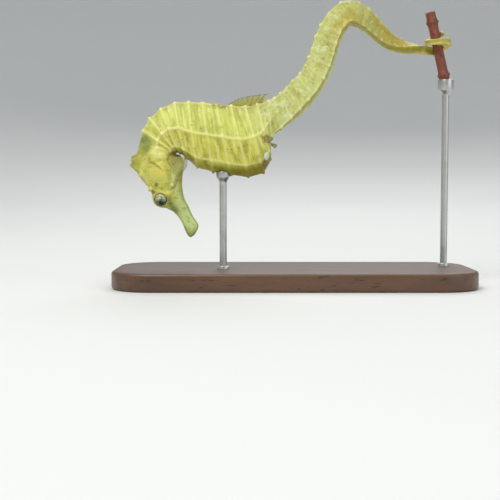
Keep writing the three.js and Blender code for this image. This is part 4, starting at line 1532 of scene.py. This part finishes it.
class Eye:
    """One eyeball with its clear front."""

    COLUMNS = 72
    PUPIL = 0.78
    IRIS = 1.2
    FRONT = 1.5
    BULGE = 0.2
    THICKNESS = 0.14
    FACE_RADIUS = 2.1  # of the ball that FACE was drawn for
    FACE = (
        (1.66, 1.16), (1.64, 1.08), (1.66, 0.98), (1.67, 0.90), (1.65, 0.83), (1.57, 0.80),
        (1.53, 0.77), (1.60, 0.64), (1.68, 0.46), (1.72, 0.28), (1.74, 0.1),
    )  # iris and lens: how far ahead, and how far out

    def __init__(self, place: EyePlace, finish: EyeFinish) -> None:
        """Keeps its place and finish.

        Args:
            place: Where it sits and looks.
            finish: Its materials.
        """
        self.place = place
        self.finish = finish

    def _turned(self, profile: list[tuple[float, float]]) -> list[np.ndarray]:
        """Turns a profile about the gaze.

        Args:
            profile: Pairs of distance along the gaze and distance from it.

        Returns:
            The rings.
        """
        gaze = self.place.gaze
        across = unit(np.cross(gaze, [1.0, 0.0, 0.0]))
        beyond = np.cross(gaze, across)
        turn = np.linspace(0, 2 * np.pi, self.COLUMNS, endpoint=False)[:, None]
        circle = across * np.cos(turn) + beyond * np.sin(turn)
        return [self.place.centre + gaze * ahead + circle * radius for ahead, radius in profile]

    def _ball(self) -> bpy.types.Object:
        """The ball, with its iris sunk a little and the round lens standing in the pupil.

        Returns:
            The object.
        """
        radius = self.place.radius
        sweep = np.radians(np.linspace(176, 33, 36))
        profile = [(radius * math.cos(angle), radius * math.sin(angle)) for angle in sweep]
        rest = radius - self.FACE_RADIUS
        profile += [(rest + ahead, reach) for ahead, reach in self.FACE]
        rings = self._turned(profile)
        points = np.vstack([*rings, rings[0].mean(0), rings[-1].mean(0)])
        away = points - self.place.centre
        off_gaze = np.linalg.norm(away - (away @ self.place.gaze)[:, None] * self.place.gaze, axis=1)
        off_gaze = np.where(away @ self.place.gaze > 0, off_gaze, 3.0)
        off_socket = np.degrees(np.arccos(np.clip(unit(away) @ self.place.opening, -1, 1)))
        sheet = Sheet.rolled(rings)
        down = unit(away) @ unit(np.array([-0.35, self.place.side.value * 0.25, -0.9]))
        sheet.values = {
            "pupil": 1 - smoothstep(off_gaze, self.PUPIL - 0.06, self.PUPIL + 0.10),
            # iris: the ring round the pupil, and painted shade over the ball's lower half.
            "iris": np.maximum(
                1 - smoothstep(off_gaze, self.PUPIL, self.IRIS + 0.2), smoothstep(down, 0.15, 0.85)
            ),
            # edge: painted shade where the ball meets its socket, more at the bottom.
            "edge": smoothstep(off_socket + 14 * down, 46.0, 64.0),
        }
        return sheet.build(f"eye_{self.place.side.name.lower()}_ball", self.finish.ball())

    def _front(self) -> bpy.types.Object:
        """The clear front: a thin dome over iris and pupil.

        Returns:
            The object.
        """
        outer = self.place.radius + 0.03
        profile = []
        for lift, shares in ((0.0, np.linspace(0.02, 1, 14)), (self.THICKNESS, np.linspace(1, 0.02, 14))):
            for share in shares:
                radius = self.FRONT * share
                bulge = self.BULGE * (1 - share**2)
                ahead = math.sqrt(outer**2 - radius**2) + bulge - self.THICKNESS + lift
                profile.append((ahead, radius))
        sheet = Sheet.rolled(self._turned(profile))
        return sheet.build(f"eye_{self.place.side.name.lower()}_front", self.finish.front())

    def build(self) -> list[bpy.types.Object]:
        """Makes the ball and its front.

        Returns:
            Both pieces.
        """
        node = f"eye_{self.place.side.name.lower()}"
        return [place_piece(self._ball(), "eye", node), place_piece(self._front(), "eye")]


# ---------- Fins ----------


@dataclass(frozen=True)
class FinFinish:
    """A clear membrane on fine rays, olive and speckled at its root."""

    root: Colour = (0.50, 0.47, 0.08)
    membrane: Colour = (0.46, 0.46, 0.17)
    ray: Colour = (0.50, 0.46, 0.16)
    speck: Colour = (0.07, 0.09, 0.02)

    def material(self) -> bpy.types.Material:
        """The fins' material, steered by the values stored on the mesh.

        Returns:
            The material.
        """
        s = Shader("seahorse_fin")
        out, ray, border = s.attribute("out"), s.attribute("ray"), s.attribute("border")
        patch = s.noise(0.9, 3.0, 0.6)
        colour = s.mix(self.root, self.membrane, (out * 1.1 + (patch - 0.5) * 0.6).smooth(0.25, 0.95))
        colour = s.mix(colour, self.ray, ray * 0.55)
        speck = s.noise(0.7, 3.0, 0.7).smooth(0.47, 0.60) * (1.1 - out).clamp()
        colour = s.mix(colour, self.speck, speck * (0.45 + 0.55 * ray))
        colour = s.mix(colour, self.speck, border * 0.8)
        solid = (0.16 + 1.1 * s.attribute("root") + 0.28 * ray + 0.6 * border + 0.3 * (patch - 0.5)).clamp()
        return s.surface(
            Base_Color=colour,
            Alpha=solid,
            Roughness=(0.25 + 0.2 * patch).clamp(),
            Normal=s.bump(patch, 0.05, 0.5),
            Subsurface_Weight=0.15,
            Subsurface_Radius=(0.6, 0.5, 0.2),
            Subsurface_Scale=0.0006,
        )


@dataclass(frozen=True)
class Fin:
    """A thin fin spread on rays between a root and an edge."""

    name: str
    node: str
    rays: int
    ray_thickness: float = 0.34
    membrane: float = 0.12
    scallop: float = 0.012
    clear: float = 1.0
    haze: float = 0.2
    dark_edge: float = 1.0
    across: int = 12
    outward: int = 26
    ripple: float = 0.12
    slimming: float = 0.72
    edge_band: tuple[float, float] = (0.93, 0.99)
    first_ray: float = 0.035

    def build(
        self,
        root: np.ndarray,
        edge: np.ndarray,
        bow: np.ndarray,
        facing: np.ndarray,
        material: bpy.types.Material,
    ) -> bpy.types.Object:
        """Makes the fin.

        Args:
            root: Where each ray begins.
            edge: Where each ray ends.
            bow: How far each ray bows aside in its middle.
            facing: Direction square to the fin.
            material: Its material.

        Returns:
            The piece.
        """
        count = self.rays * self.across + 1
        u = np.linspace(0, 1, count)
        v = np.linspace(0, 1, self.outward + 1)

        def spread(rows: np.ndarray) -> np.ndarray:
            """The rows, smoothly spread to the finer count."""
            return Curve(rows).at(u)

        start, end, swing = spread(root), spread(edge), spread(bow)
        phase = u * (self.rays - 1) * 2 * np.pi
        ray = np.clip((np.cos(phase) - 0.35) / 0.65, 0, 1) ** 0.7
        end = start + (end - start) * (1 - self.scallop + self.scallop * np.cos(phase))[:, None]
        out = v[:, None, None]
        middle = start + (end - start) * out + swing * 4 * out * (1 - out)
        ripple = self.ripple * np.sin(phase / 2 + 1.3) * v[:, None]
        middle = middle + facing * ripple[..., None]
        slim = 1 - self.slimming * v[:, None]
        half = (self.membrane + (self.ray_thickness - self.membrane) * ray * slim) / 2
        sheet = Sheet.plate(middle + facing * half[..., None], middle - facing * half[..., None])
        border = smoothstep(v, *self.edge_band)[:, None] * np.ones_like(ray)
        leading = (1 - smoothstep(u, 0.0, self.first_ray)) * np.ones_like(v)[:, None]
        border = np.maximum(border, leading)
        rooted = self.haze + (1 - self.haze) * (1 - v[:, None]) ** self.clear
        sheet.values = {
            "out": np.tile((v[:, None] * np.ones_like(ray)).ravel(), 2),
            "ray": np.tile((ray * np.ones_like(v)[:, None]).ravel(), 2),
            "border": np.tile(border.ravel() * self.dark_edge, 2),
            "root": np.tile((rooted * np.ones_like(ray)).ravel(), 2),
        }
        piece = sheet.build(self.name, material)
        return place_piece(piece, "fin", self.node)


class Fins:
    """The dorsal fin, the small anal fin and both pectoral fins."""

    DORSAL_ROOT = ((-22.2, 59.3), (-18.2, 58.9), (-14.2, 59.2), (-10.3, 60.1))
    DORSAL_EDGE = ((-21.6, 60.6), (-18.8, 62.1), (-16.3, 62.8), (-12.0, 63.5), (-7.6, 63.9))
    DORSAL_BOW = 0.75
    PECTORAL_ROOT = (-41.6, 42.2)
    PECTORAL_OFFSET = 3.5
    PECTORAL_LENGTH = 6.6
    PECTORAL_CURL = 0.45
    PECTORAL_SPREAD = math.radians(56)
    PECTORAL_TURN = math.radians(24)
    PECTORAL_FLARE = math.radians(24)
    ANAL_ROOT = (-8.4, 47.6)
    ANAL_LENGTH = 2.8
    ANAL_SPREAD = math.radians(34)
    ANAL_LEAN = math.radians(25)
    FAN_KNOTS = 9
    FAN_ROOT = 0.16  # half the root's width, as a share of the rays' length

    def __init__(self) -> None:
        """Makes the material that the fins share."""
        self.material = FinFinish().material()

    def build(self) -> list[bpy.types.Object]:
        """Makes all four.

        Returns:
            The pieces.
        """
        return [self._dorsal(), self._anal(), *(self._pectoral(side) for side in Side)]

    def _dorsal(self) -> bpy.types.Object:
        """The fin on the back: its rays lean backwards and bow forwards.

        Returns:
            The piece.
        """
        root = np.array([(x, BODY_PLANE, z) for x, z in self.DORSAL_ROOT])
        edge = np.array([(x, BODY_PLANE, z) for x, z in self.DORSAL_EDGE])
        share = np.linspace(0, 1, len(edge))
        bow = np.outer(share**1.5, [-self.DORSAL_BOW, 0.0, self.DORSAL_BOW * 0.35])
        fin = Fin("dorsal_fin_membrane", "dorsal_fin", rays=18)
        return fin.build(root, edge, bow, np.array([0.0, 1.0, 0.0]), self.material)

    def _fan(self, spread: float, length: float, curl: float) -> tuple[np.ndarray, np.ndarray, np.ndarray]:
        """A fan that opens from its root along +X, in X and Z.

        Args:
            spread: Angle between its first and last ray, in radians.
            length: Length of the rays.
            curl: How far the rays bow out of the fan.

        Returns:
            Root, edge and bow, in one row for each ray.
        """
        knots = self.FAN_KNOTS
        angle = np.linspace(spread / 2, -spread / 2, knots)
        ray = np.stack([np.cos(angle), np.zeros(knots), np.sin(angle)], axis=1)
        lift = np.linspace(self.FAN_ROOT, -self.FAN_ROOT, knots)[:, None] * [0.0, 0.0, length]
        taper = (0.90 + 0.10 * np.cos(angle / spread * 2.4))[:, None]
        return lift - ray * 0.5, ray * length * taper, np.tile([0.0, curl, 0.0], (knots, 1))

    def _pectoral(self, side: Side) -> bpy.types.Object:
        """The fan behind one gill cover.

        Args:
            side: Which one.

        Returns:
            The piece.
        """
        turned = about_y(self.PECTORAL_TURN) @ about_z(side.value * self.PECTORAL_FLARE)
        x, z = self.PECTORAL_ROOT
        place = np.array([x, BODY_PLANE + side.value * self.PECTORAL_OFFSET, z])
        root, edge, bow = (
            rows @ turned.T
            for rows in self._fan(self.PECTORAL_SPREAD, self.PECTORAL_LENGTH, side.value * self.PECTORAL_CURL)
        )
        name = side.name.lower()
        fin = Fin(
            f"pectoral_fin_{name}_membrane", f"pectoral_fin_{name}", rays=15, across=10,
            ray_thickness=0.22, clear=3.0, haze=0.0, dark_edge=0.15,
        )
        return fin.build(root + place, edge + place, bow, turned @ np.array([0.0, 1.0, 0.0]), self.material)

    def _anal(self) -> bpy.types.Object:
        """The tiny fin behind the vent.

        Returns:
            The piece.
        """
        turned = about_y(self.ANAL_LEAN)
        place = np.array([self.ANAL_ROOT[0], BODY_PLANE, self.ANAL_ROOT[1]])
        root, edge, bow = (rows @ turned.T for rows in self._fan(self.ANAL_SPREAD, self.ANAL_LENGTH, 0.0))
        fin = Fin("anal_fin_membrane", "anal_fin", rays=5, ray_thickness=0.26)
        return fin.build(root * 0.5 + place, edge + place, bow, np.array([0.0, 1.0, 0.0]), self.material)


# ---------- Perch and stand ----------


@dataclass(frozen=True)
class StemFinish:
    """The gripped stem: red-brown bark with fine streaks, and pale cut ends."""

    bark: Colour = (0.19, 0.045, 0.022)
    light: Colour = (0.40, 0.17, 0.07)
    dark: Colour = (0.05, 0.015, 0.010)
    cut: Colour = (0.52, 0.42, 0.22)
    streak_length: float = 0.85  # share of the pattern's change along the stem that is taken away

    def material(self, axis: np.ndarray) -> bpy.types.Material:
        """The stem's material.

        Args:
            axis: The stem's direction, along which the streaks run.

        Returns:
            The material.
        """
        s = Shader("perch_stem_bark")
        along = s.node(
            "ShaderNodeVectorMath", {"operation": "DOT_PRODUCT"}, {0: s.place(), 1: tuple(axis)}, out="Value"
        )
        inputs = {0: tuple(axis * self.streak_length), "Scale": along}
        lengthwise = s.node("ShaderNodeVectorMath", {"operation": "SCALE"}, inputs)
        squeezed = s.node("ShaderNodeVectorMath", {"operation": "SUBTRACT"}, {0: s.place(), 1: lengthwise})
        streak = s.noise(0.55, 4.0, 0.6, squeezed)
        blot = s.noise(3.0, 3.0)
        colour = s.mix(self.bark, self.light, streak.smooth(0.5, 0.8) * 0.8)
        colour = s.mix(colour, self.dark, (blot.smooth(0.5, 0.75) * 0.6 + s.attribute("joint") * 0.5).clamp())
        colour = s.mix(colour, self.cut, s.attribute("cut"))
        return s.surface(
            Base_Color=colour,
            Roughness=(0.42 + 0.25 * streak).clamp(),
            Normal=s.bump(streak * 0.8 + s.noise(0.3) * 0.2, 0.12, 0.8),
            Subsurface_Weight=0.05,
            Subsurface_Radius=(0.8, 0.3, 0.15),
            Subsurface_Scale=0.0005,
        )


class Perch:
    """The short cut length of stem that the tail grips."""

    COLUMNS = 96
    RIBS = 9
    RIB_DEPTH = 0.045
    SPACING = 0.22
    SWELL_WIDTH = 0.75
    SCAR = (0.5, 0.16)  # height above a joint, and width
    SCAR_DEPTH = 0.13
    CUT_RINGS = (0.35, 0.7, 0.93)  # shares of the radius

    def __init__(self, stem: Stem, finish: StemFinish) -> None:
        """Keeps the stem and its finish.

        Args:
            stem: Its sizes.
            finish: Its material.
        """
        self.stem = stem
        self.finish = finish

    def build(self) -> bpy.types.Object:
        """Makes the stem, swollen at its joints and cut square.

        Returns:
            The piece.
        """
        stem = self.stem
        length = stem.below + stem.above
        height = np.linspace(0, length, round(length / self.SPACING))
        swell = sum(bell(height - joint, self.SWELL_WIDTH) for joint in stem.joints)
        above, width = self.SCAR
        scar = sum(bell(height - joint - above, width) for joint in stem.joints)
        radius = stem.radius + stem.joint_swell * swell - self.SCAR_DEPTH * scar
        turn = np.linspace(0, 2 * np.pi, self.COLUMNS, endpoint=False)
        rib = self.RIB_DEPTH * np.cos(self.RIBS * turn)[None, :] * (1 - 0.6 * swell)[:, None]
        reach = radius[:, None] + rib - self.RIB_DEPTH
        circle = stem.across * np.cos(turn)[:, None] + np.array([0.0, 1.0, 0.0]) * np.sin(turn)[:, None]
        rows = stem.foot + stem.axis * height[:, None, None] + circle * reach[..., None]
        inner, ends = self.CUT_RINGS, len(self.CUT_RINGS)
        first = [stem.foot + circle * stem.radius * share for share in inner]
        last = [stem.foot + stem.axis * length + circle * stem.radius * share for share in inner[::-1]]
        rows = [*first, *rows, *last]
        flat = np.array([1.0] * ends + [0.0] * len(height) + [1.0] * ends)
        joint = np.concatenate([[0.0] * ends, np.clip(scar + 0.3 * swell, 0, 1), [0.0] * ends])
        values = {"cut": np.repeat(flat, self.COLUMNS), "joint": np.repeat(joint, self.COLUMNS)}
        piece = Sheet.rolled(rows, values).build("perch_stem_bark", self.finish.material(stem.axis), 50.0)
        return place_piece(piece, "stem", "perch_stem")


@dataclass(frozen=True)
class WoodFinish:
    """The stand's base: dark oiled wood with its grain along X."""

    dark: Colour = (0.055, 0.024, 0.011)
    light: Colour = (0.16, 0.075, 0.034)
    pore: Colour = (0.02, 0.009, 0.005)

    def material(self) -> bpy.types.Material:
        """The wood's material.

        Returns:
            The material.
        """
        s = Shader("stand_wood")
        stretched = s.scaled(s.place(), (0.09, 1.0, 0.55))
        sway = s.noise(9.0, 3.0, 0.5, stretched)
        lines = s.node(
            "ShaderNodeTexWave",
            {"wave_type": "BANDS", "bands_direction": "Y", "wave_profile": "SIN"},
            {"Vector": stretched, "Scale": 58.0, "Distortion": 11.0, "Detail": 4.0, "Detail Scale": 1.7},
            out="Fac",
        )
        fibre = s.noise(0.7, 4.0, 0.6, stretched)
        colour = s.mix(self.dark, self.light, (lines * 0.34 + sway * 0.62 + (fibre - 0.5) * 0.6).clamp())
        colour = s.mix(colour, self.pore, s.noise(0.5, 2.0, 0.5, stretched).smooth(0.60, 0.70) * 0.8)
        # Lighter along the rounded top edge.
        colour = s.mix(colour, self.light, s.attribute("worn") * 0.5)
        return s.surface(
            Base_Color=colour,
            Roughness=(0.34 + 0.22 * fibre).clamp(),
            Normal=s.bump(fibre * 0.7 + lines * 0.3, 0.1, 0.5),
            Coat_Weight=0.25,
            Coat_Roughness=0.25,
        )


@dataclass(frozen=True)
class SteelFinish:
    """The stand's rods: satin steel with fine turning marks."""

    steel: Colour = (0.56, 0.56, 0.55)
    dull: Colour = (0.40, 0.40, 0.40)

    def material(self) -> bpy.types.Material:
        """The steel's material.

        Returns:
            The material.
        """
        s = Shader("stand_steel")
        squeezed = s.scaled(s.place(), (0.1, 0.1, 1.0))
        marks = s.noise(0.25, 3.0, 0.6, squeezed)
        smudge = s.noise(5.0, 3.0)
        return s.surface(
            Base_Color=s.mix(self.steel, self.dull, (marks * 0.5 + smudge.smooth(0.45, 0.75) * 0.5).clamp()),
            Metallic=1.0,
            Roughness=(0.24 + 0.18 * marks + 0.1 * smudge).clamp(),
            Normal=s.bump(marks, 0.02, 0.5),
        )


class Stand:
    """The plain display stand: a flat wooden base and two steel rods."""

    LENGTH = 120.0
    WIDTH = 48.0
    HEIGHT = 6.0
    CORNER = 14.0
    BEVEL = 1.1
    BEVEL_DEG = 78
    BEVEL_STEPS = 7
    UNDERSIDE = (13.0, 6.0)  # insets of the rings on the flat faces
    UPPER_SIDE = (4.0, 9.0, 13.0)
    BASE_COLUMNS = 240
    ROD_RADIUS = 1.2
    ROD_SINK = 3.5
    BODY_ROD_X = -23.6
    SADDLE_RADIUS = 2.3
    SADDLE_TOP = 39.6
    SADDLE_PRESS = 0.05  # how far it goes into the skin
    CUP_RADIUS = 2.7
    CUP_HEIGHT = 3.6
    CUP_GAP = 0.28
    CUP_LIP = 0.35
    COLLAR = (2.1, 0.9)
    COLUMNS = 72

    def __init__(self, stem: Stem, skin: bpy.types.Object) -> None:
        """Keeps the stem and the skin, and makes the steel's material.

        Args:
            stem: The stem that the perch rod holds.
            skin: The animal's skin, which rests on the other rod.
        """
        self.stem = stem
        self.skin = skin
        self.steel = SteelFinish().material()

    def build(self) -> list[bpy.types.Object]:
        """Makes the base and both rods.

        Returns:
            The pieces.
        """
        return [self._base(), self._body_rod(), self._perch_rod()]

    def _base(self) -> bpy.types.Object:
        """The wooden base, with its edges rounded over.

        Returns:
            The piece.
        """
        corner = level_circle(self.BASE_COLUMNS)[:, :2]
        inner = np.array([self.LENGTH / 2 - self.CORNER, self.WIDTH / 2 - self.CORNER])
        profile = [(inset, 0.0) for inset in (*self.UNDERSIDE, self.BEVEL)]
        for angle in np.radians(np.linspace(-self.BEVEL_DEG, 0, self.BEVEL_STEPS)):
            profile.append((self.BEVEL * (1 - math.cos(angle)), self.BEVEL * (1 + math.sin(angle))))
        for angle in np.radians(np.linspace(0, self.BEVEL_DEG, self.BEVEL_STEPS)):
            height = self.HEIGHT - self.BEVEL * (1 - math.sin(angle))
            profile.append((self.BEVEL * (1 - math.cos(angle)), height))
        profile += [(inset, self.HEIGHT) for inset in (self.BEVEL, *self.UPPER_SIDE)]
        rings, worn = [], []
        for inset, height in profile:
            flat = corner * (self.CORNER - inset) + np.sign(corner) * inner
            rings.append(np.column_stack([flat, np.full(len(flat), height)]))
            # The rounded top edge, which is drawn lighter.
            worn.append(np.full(len(flat), float(0.05 < inset < self.BEVEL and height > 1.0)))
        sheet = Sheet.rolled(rings, {"worn": np.concatenate(worn)})
        piece = sheet.build("stand_base_wood", WoodFinish().material(), 40.0)
        return place_piece(piece, "base", "stand_base")

    def _turned(self, name: str, x: float, y: float, profile: list[tuple[float, float]]) -> bpy.types.Object:
        """A turned rod.

        Args:
            name: Its name.
            x: Where it stands.
            y: Where it stands.
            profile: Radius and height, from its foot up.

        Returns:
            The object.
        """
        circle = level_circle(self.COLUMNS)
        rings = [circle * radius + (x, y, height) for radius, height in profile]
        return Sheet.rolled(rings).build(name, self.steel, 35.0)

    def _rod_foot(self) -> list[tuple[float, float]]:
        """Profile of a rod's foot, with the collar on the base.

        Returns:
            Pairs of radius and height.
        """
        wide, tall = self.COLLAR
        top = self.HEIGHT + tall
        return [
            (self.ROD_RADIUS, self.HEIGHT - self.ROD_SINK),
            (self.ROD_RADIUS, self.HEIGHT - 0.5),
            (wide, self.HEIGHT - 0.4),
            (wide, top - 0.25),
            (wide - 0.08, top - 0.08),
            (wide - 0.25, top),
            (self.ROD_RADIUS, top + 0.02),
        ]

    def _flare(self, wide: float, start: float, tall: float, steps: int) -> list[tuple[float, float]]:
        """Profile of a rod where it widens.

        Args:
            wide: Radius at its top.
            start: Height where it begins.
            tall: How high it is.
            steps: Number of points.

        Returns:
            Pairs of radius and height.
        """
        shares = np.linspace(0, 1, steps)
        swell = wide - self.ROD_RADIUS
        return [
            (self.ROD_RADIUS + swell * float(smoothstep(share, 0, 1)), start + tall * share)
            for share in shares
        ]

    def _body_rod(self) -> bpy.types.Object:
        """The rod under the trunk, whose saddle takes the skin's shape.

        Returns:
            The piece.
        """
        top = self.SADDLE_TOP
        profile = self._rod_foot() + [(self.ROD_RADIUS, top - 5.4)]
        wide = self.SADDLE_RADIUS
        profile += self._flare(wide, top - 5.2, 2.4, 9)
        profile += [(wide, top - 1.6), (wide, top - 0.4), (wide - 0.15, top)]
        profile += [(wide * share, top) for share in (0.8, 0.6, 0.4, 0.2)]
        piece = self._turned("stand_rod_body_steel", self.BODY_ROD_X, BODY_PLANE, profile)
        tree = BVHTree.FromObject(self.skin, bpy.context.evaluated_depsgraph_get())
        for vertex in piece.data.vertices:
            if vertex.co.z > (top - 3.0) * MM:
                start = Vector((vertex.co.x, vertex.co.y, (top - 8) * MM))
                hit = tree.ray_cast(start, Vector((0, 0, 1)))[0]
                if hit:
                    vertex.co.z = min(vertex.co.z, hit.z + self.SADDLE_PRESS * MM)
        return place_piece(piece, "rod", "stand_rod_body")

    def _perch_rod(self) -> bpy.types.Object:
        """The rod and cup that hold the stem.

        Returns:
            The piece.
        """
        foot = self.stem.foot
        top = float(foot[2]) + self.CUP_HEIGHT / 2
        floor = top - self.CUP_HEIGHT
        profile = self._rod_foot() + [(self.ROD_RADIUS, floor - 1.9)]
        wide, bore = self.CUP_RADIUS, self.stem.radius + self.CUP_GAP
        profile += self._flare(wide, floor - 1.7, 1.8, 8)
        profile += [(wide, top - 0.5), (wide - 0.08, top - 0.15), (wide - 0.3, top)]
        profile += [(self.stem.radius + self.CUP_LIP, top), (bore, top - 0.15), (bore, top - 1.5)]
        piece = self._turned("stand_rod_perch_steel", float(foot[0]), float(foot[1]), profile)
        return place_piece(piece, "rod", "stand_rod_perch")


# ---------- Studio ----------


@dataclass(frozen=True)
class Studio:
    """A pale cove floor, soft lights and the camera."""

    floor_colour: Colour = (0.80, 0.80, 0.78)
    world_colour: Colour = (0.88, 0.94, 1.0)
    world_strength: float = 0.42
    camera: tuple[float, float, float] = (-14.667, -333.196, 35.186)
    pitch_deg: float = -4.0
    lens: float = 71.28
    floor_columns: int = 96
    flat: float = 500.0  # reach of the floor's flat part
    cove: float = 1500.0
    cove_steps: int = 12

    def build(self) -> None:
        """Makes all of it."""
        self._floor()
        self._camera()
        self._lights()
        scene = bpy.context.scene
        scene.view_settings.view_transform = "Standard"

    def _floor(self) -> None:
        """A round floor that rises into a cove on every side, far from the object."""
        columns = self.floor_columns
        angles = [step / self.cove_steps * math.pi / 2 for step in range(1, self.cove_steps + 1)]
        reach = [5.0, 200.0, self.flat] + [self.flat + self.cove * math.sin(angle) for angle in angles]
        rise = [0.0] * 3 + [self.cove * (1 - math.cos(angle)) for angle in angles]
        circle = level_circle(columns)
        points = np.vstack([circle * radius + (0, 0, height) for radius, height in zip(reach, rise)])
        faces = [tuple(range(columns))]
        for ring in range(len(reach) - 1):
            for column in range(columns):
                beside = (column + 1) % columns
                low, high = ring * columns, ring * columns + columns
                faces.append((low + column, high + column, high + beside, low + beside))
        mesh = bpy.data.meshes.new("studio_floor")
        mesh.from_pydata((points * MM).tolist(), [], faces)
        mesh.shade_smooth()
        s = Shader("studio_paper")
        grain = s.noise(0.8, 3.0)
        cloud = s.noise(220.0, 2.0)
        paler = tuple(min(1.0, part * 1.04) for part in self.floor_colour)
        mesh.materials.append(
            s.surface(
                Base_Color=s.mix(self.floor_colour, paler, cloud),
                Roughness=(0.75 + 0.15 * grain).clamp(),
                Normal=s.bump(grain, 0.05, 0.3),
            )
        )
        floor = bpy.data.objects.new("studio_floor", mesh)
        bpy.context.scene.collection.objects.link(floor)

    def _camera(self) -> None:
        """The camera, at the animal's left side and tilted a little downwards."""
        data = bpy.data.cameras.new("studio_camera")
        data.lens = self.lens
        data.sensor_width = 36.0
        data.clip_start, data.clip_end = 0.01, 10.0
        camera = bpy.data.objects.new("studio_camera", data)
        camera.location = Vector(self.camera) * MM
        camera.rotation_euler = (math.radians(90 + self.pitch_deg), 0, 0)
        bpy.context.scene.collection.objects.link(camera)
        bpy.context.scene.camera = camera

    def _lights(self) -> None:
        """A soft key from the upper front left, a fill from the right, a rim from behind, and a pale sky."""
        for name, place, size, power, colour in (
            ("studio_key", (-0.30, -0.45, 0.75), 0.45, 5.2, (1.0, 0.98, 0.94)),
            ("studio_fill", (0.65, -0.50, 0.35), 0.6, 1.4, (0.92, 0.97, 1.0)),
            ("studio_rim", (0.10, 0.60, 0.60), 0.5, 2.4, (1.0, 1.0, 1.0)),
        ):
            data = bpy.data.lights.new(name, "AREA")
            data.size, data.energy, data.color = size, power, colour
            light = bpy.data.objects.new(name, data)
            light.location = place
            aim = Vector((0.0, 0.0, 0.05)) - Vector(place)
            light.rotation_euler = aim.to_track_quat("-Z", "Y").to_euler()
            bpy.context.scene.collection.objects.link(light)
        world = bpy.data.worlds.new("studio_sky")
        world.use_nodes = True
        sky = world.node_tree.nodes["Background"]
        sky.inputs["Color"].default_value = (*self.world_colour, 1.0)
        sky.inputs["Strength"].default_value = self.world_strength
        bpy.context.scene.world = world


def main() -> None:
    """Builds the seahorse, its perch, its stand and the studio."""
    logging.basicConfig(level=logging.INFO, format="%(name)s: %(message)s")
    stem = Stem()
    eyes = tuple(EyePlace(side) for side in Side)
    skin = Skin(Anatomy(stem), eyes, Coronet()).build()
    finish = EyeFinish()
    for place in eyes:
        Eye(place, finish).build()
    Fins().build()
    Perch(stem, StemFinish()).build()
    Stand(stem, skin).build()
    Studio().build()


if __name__ == "__main__":
    main()
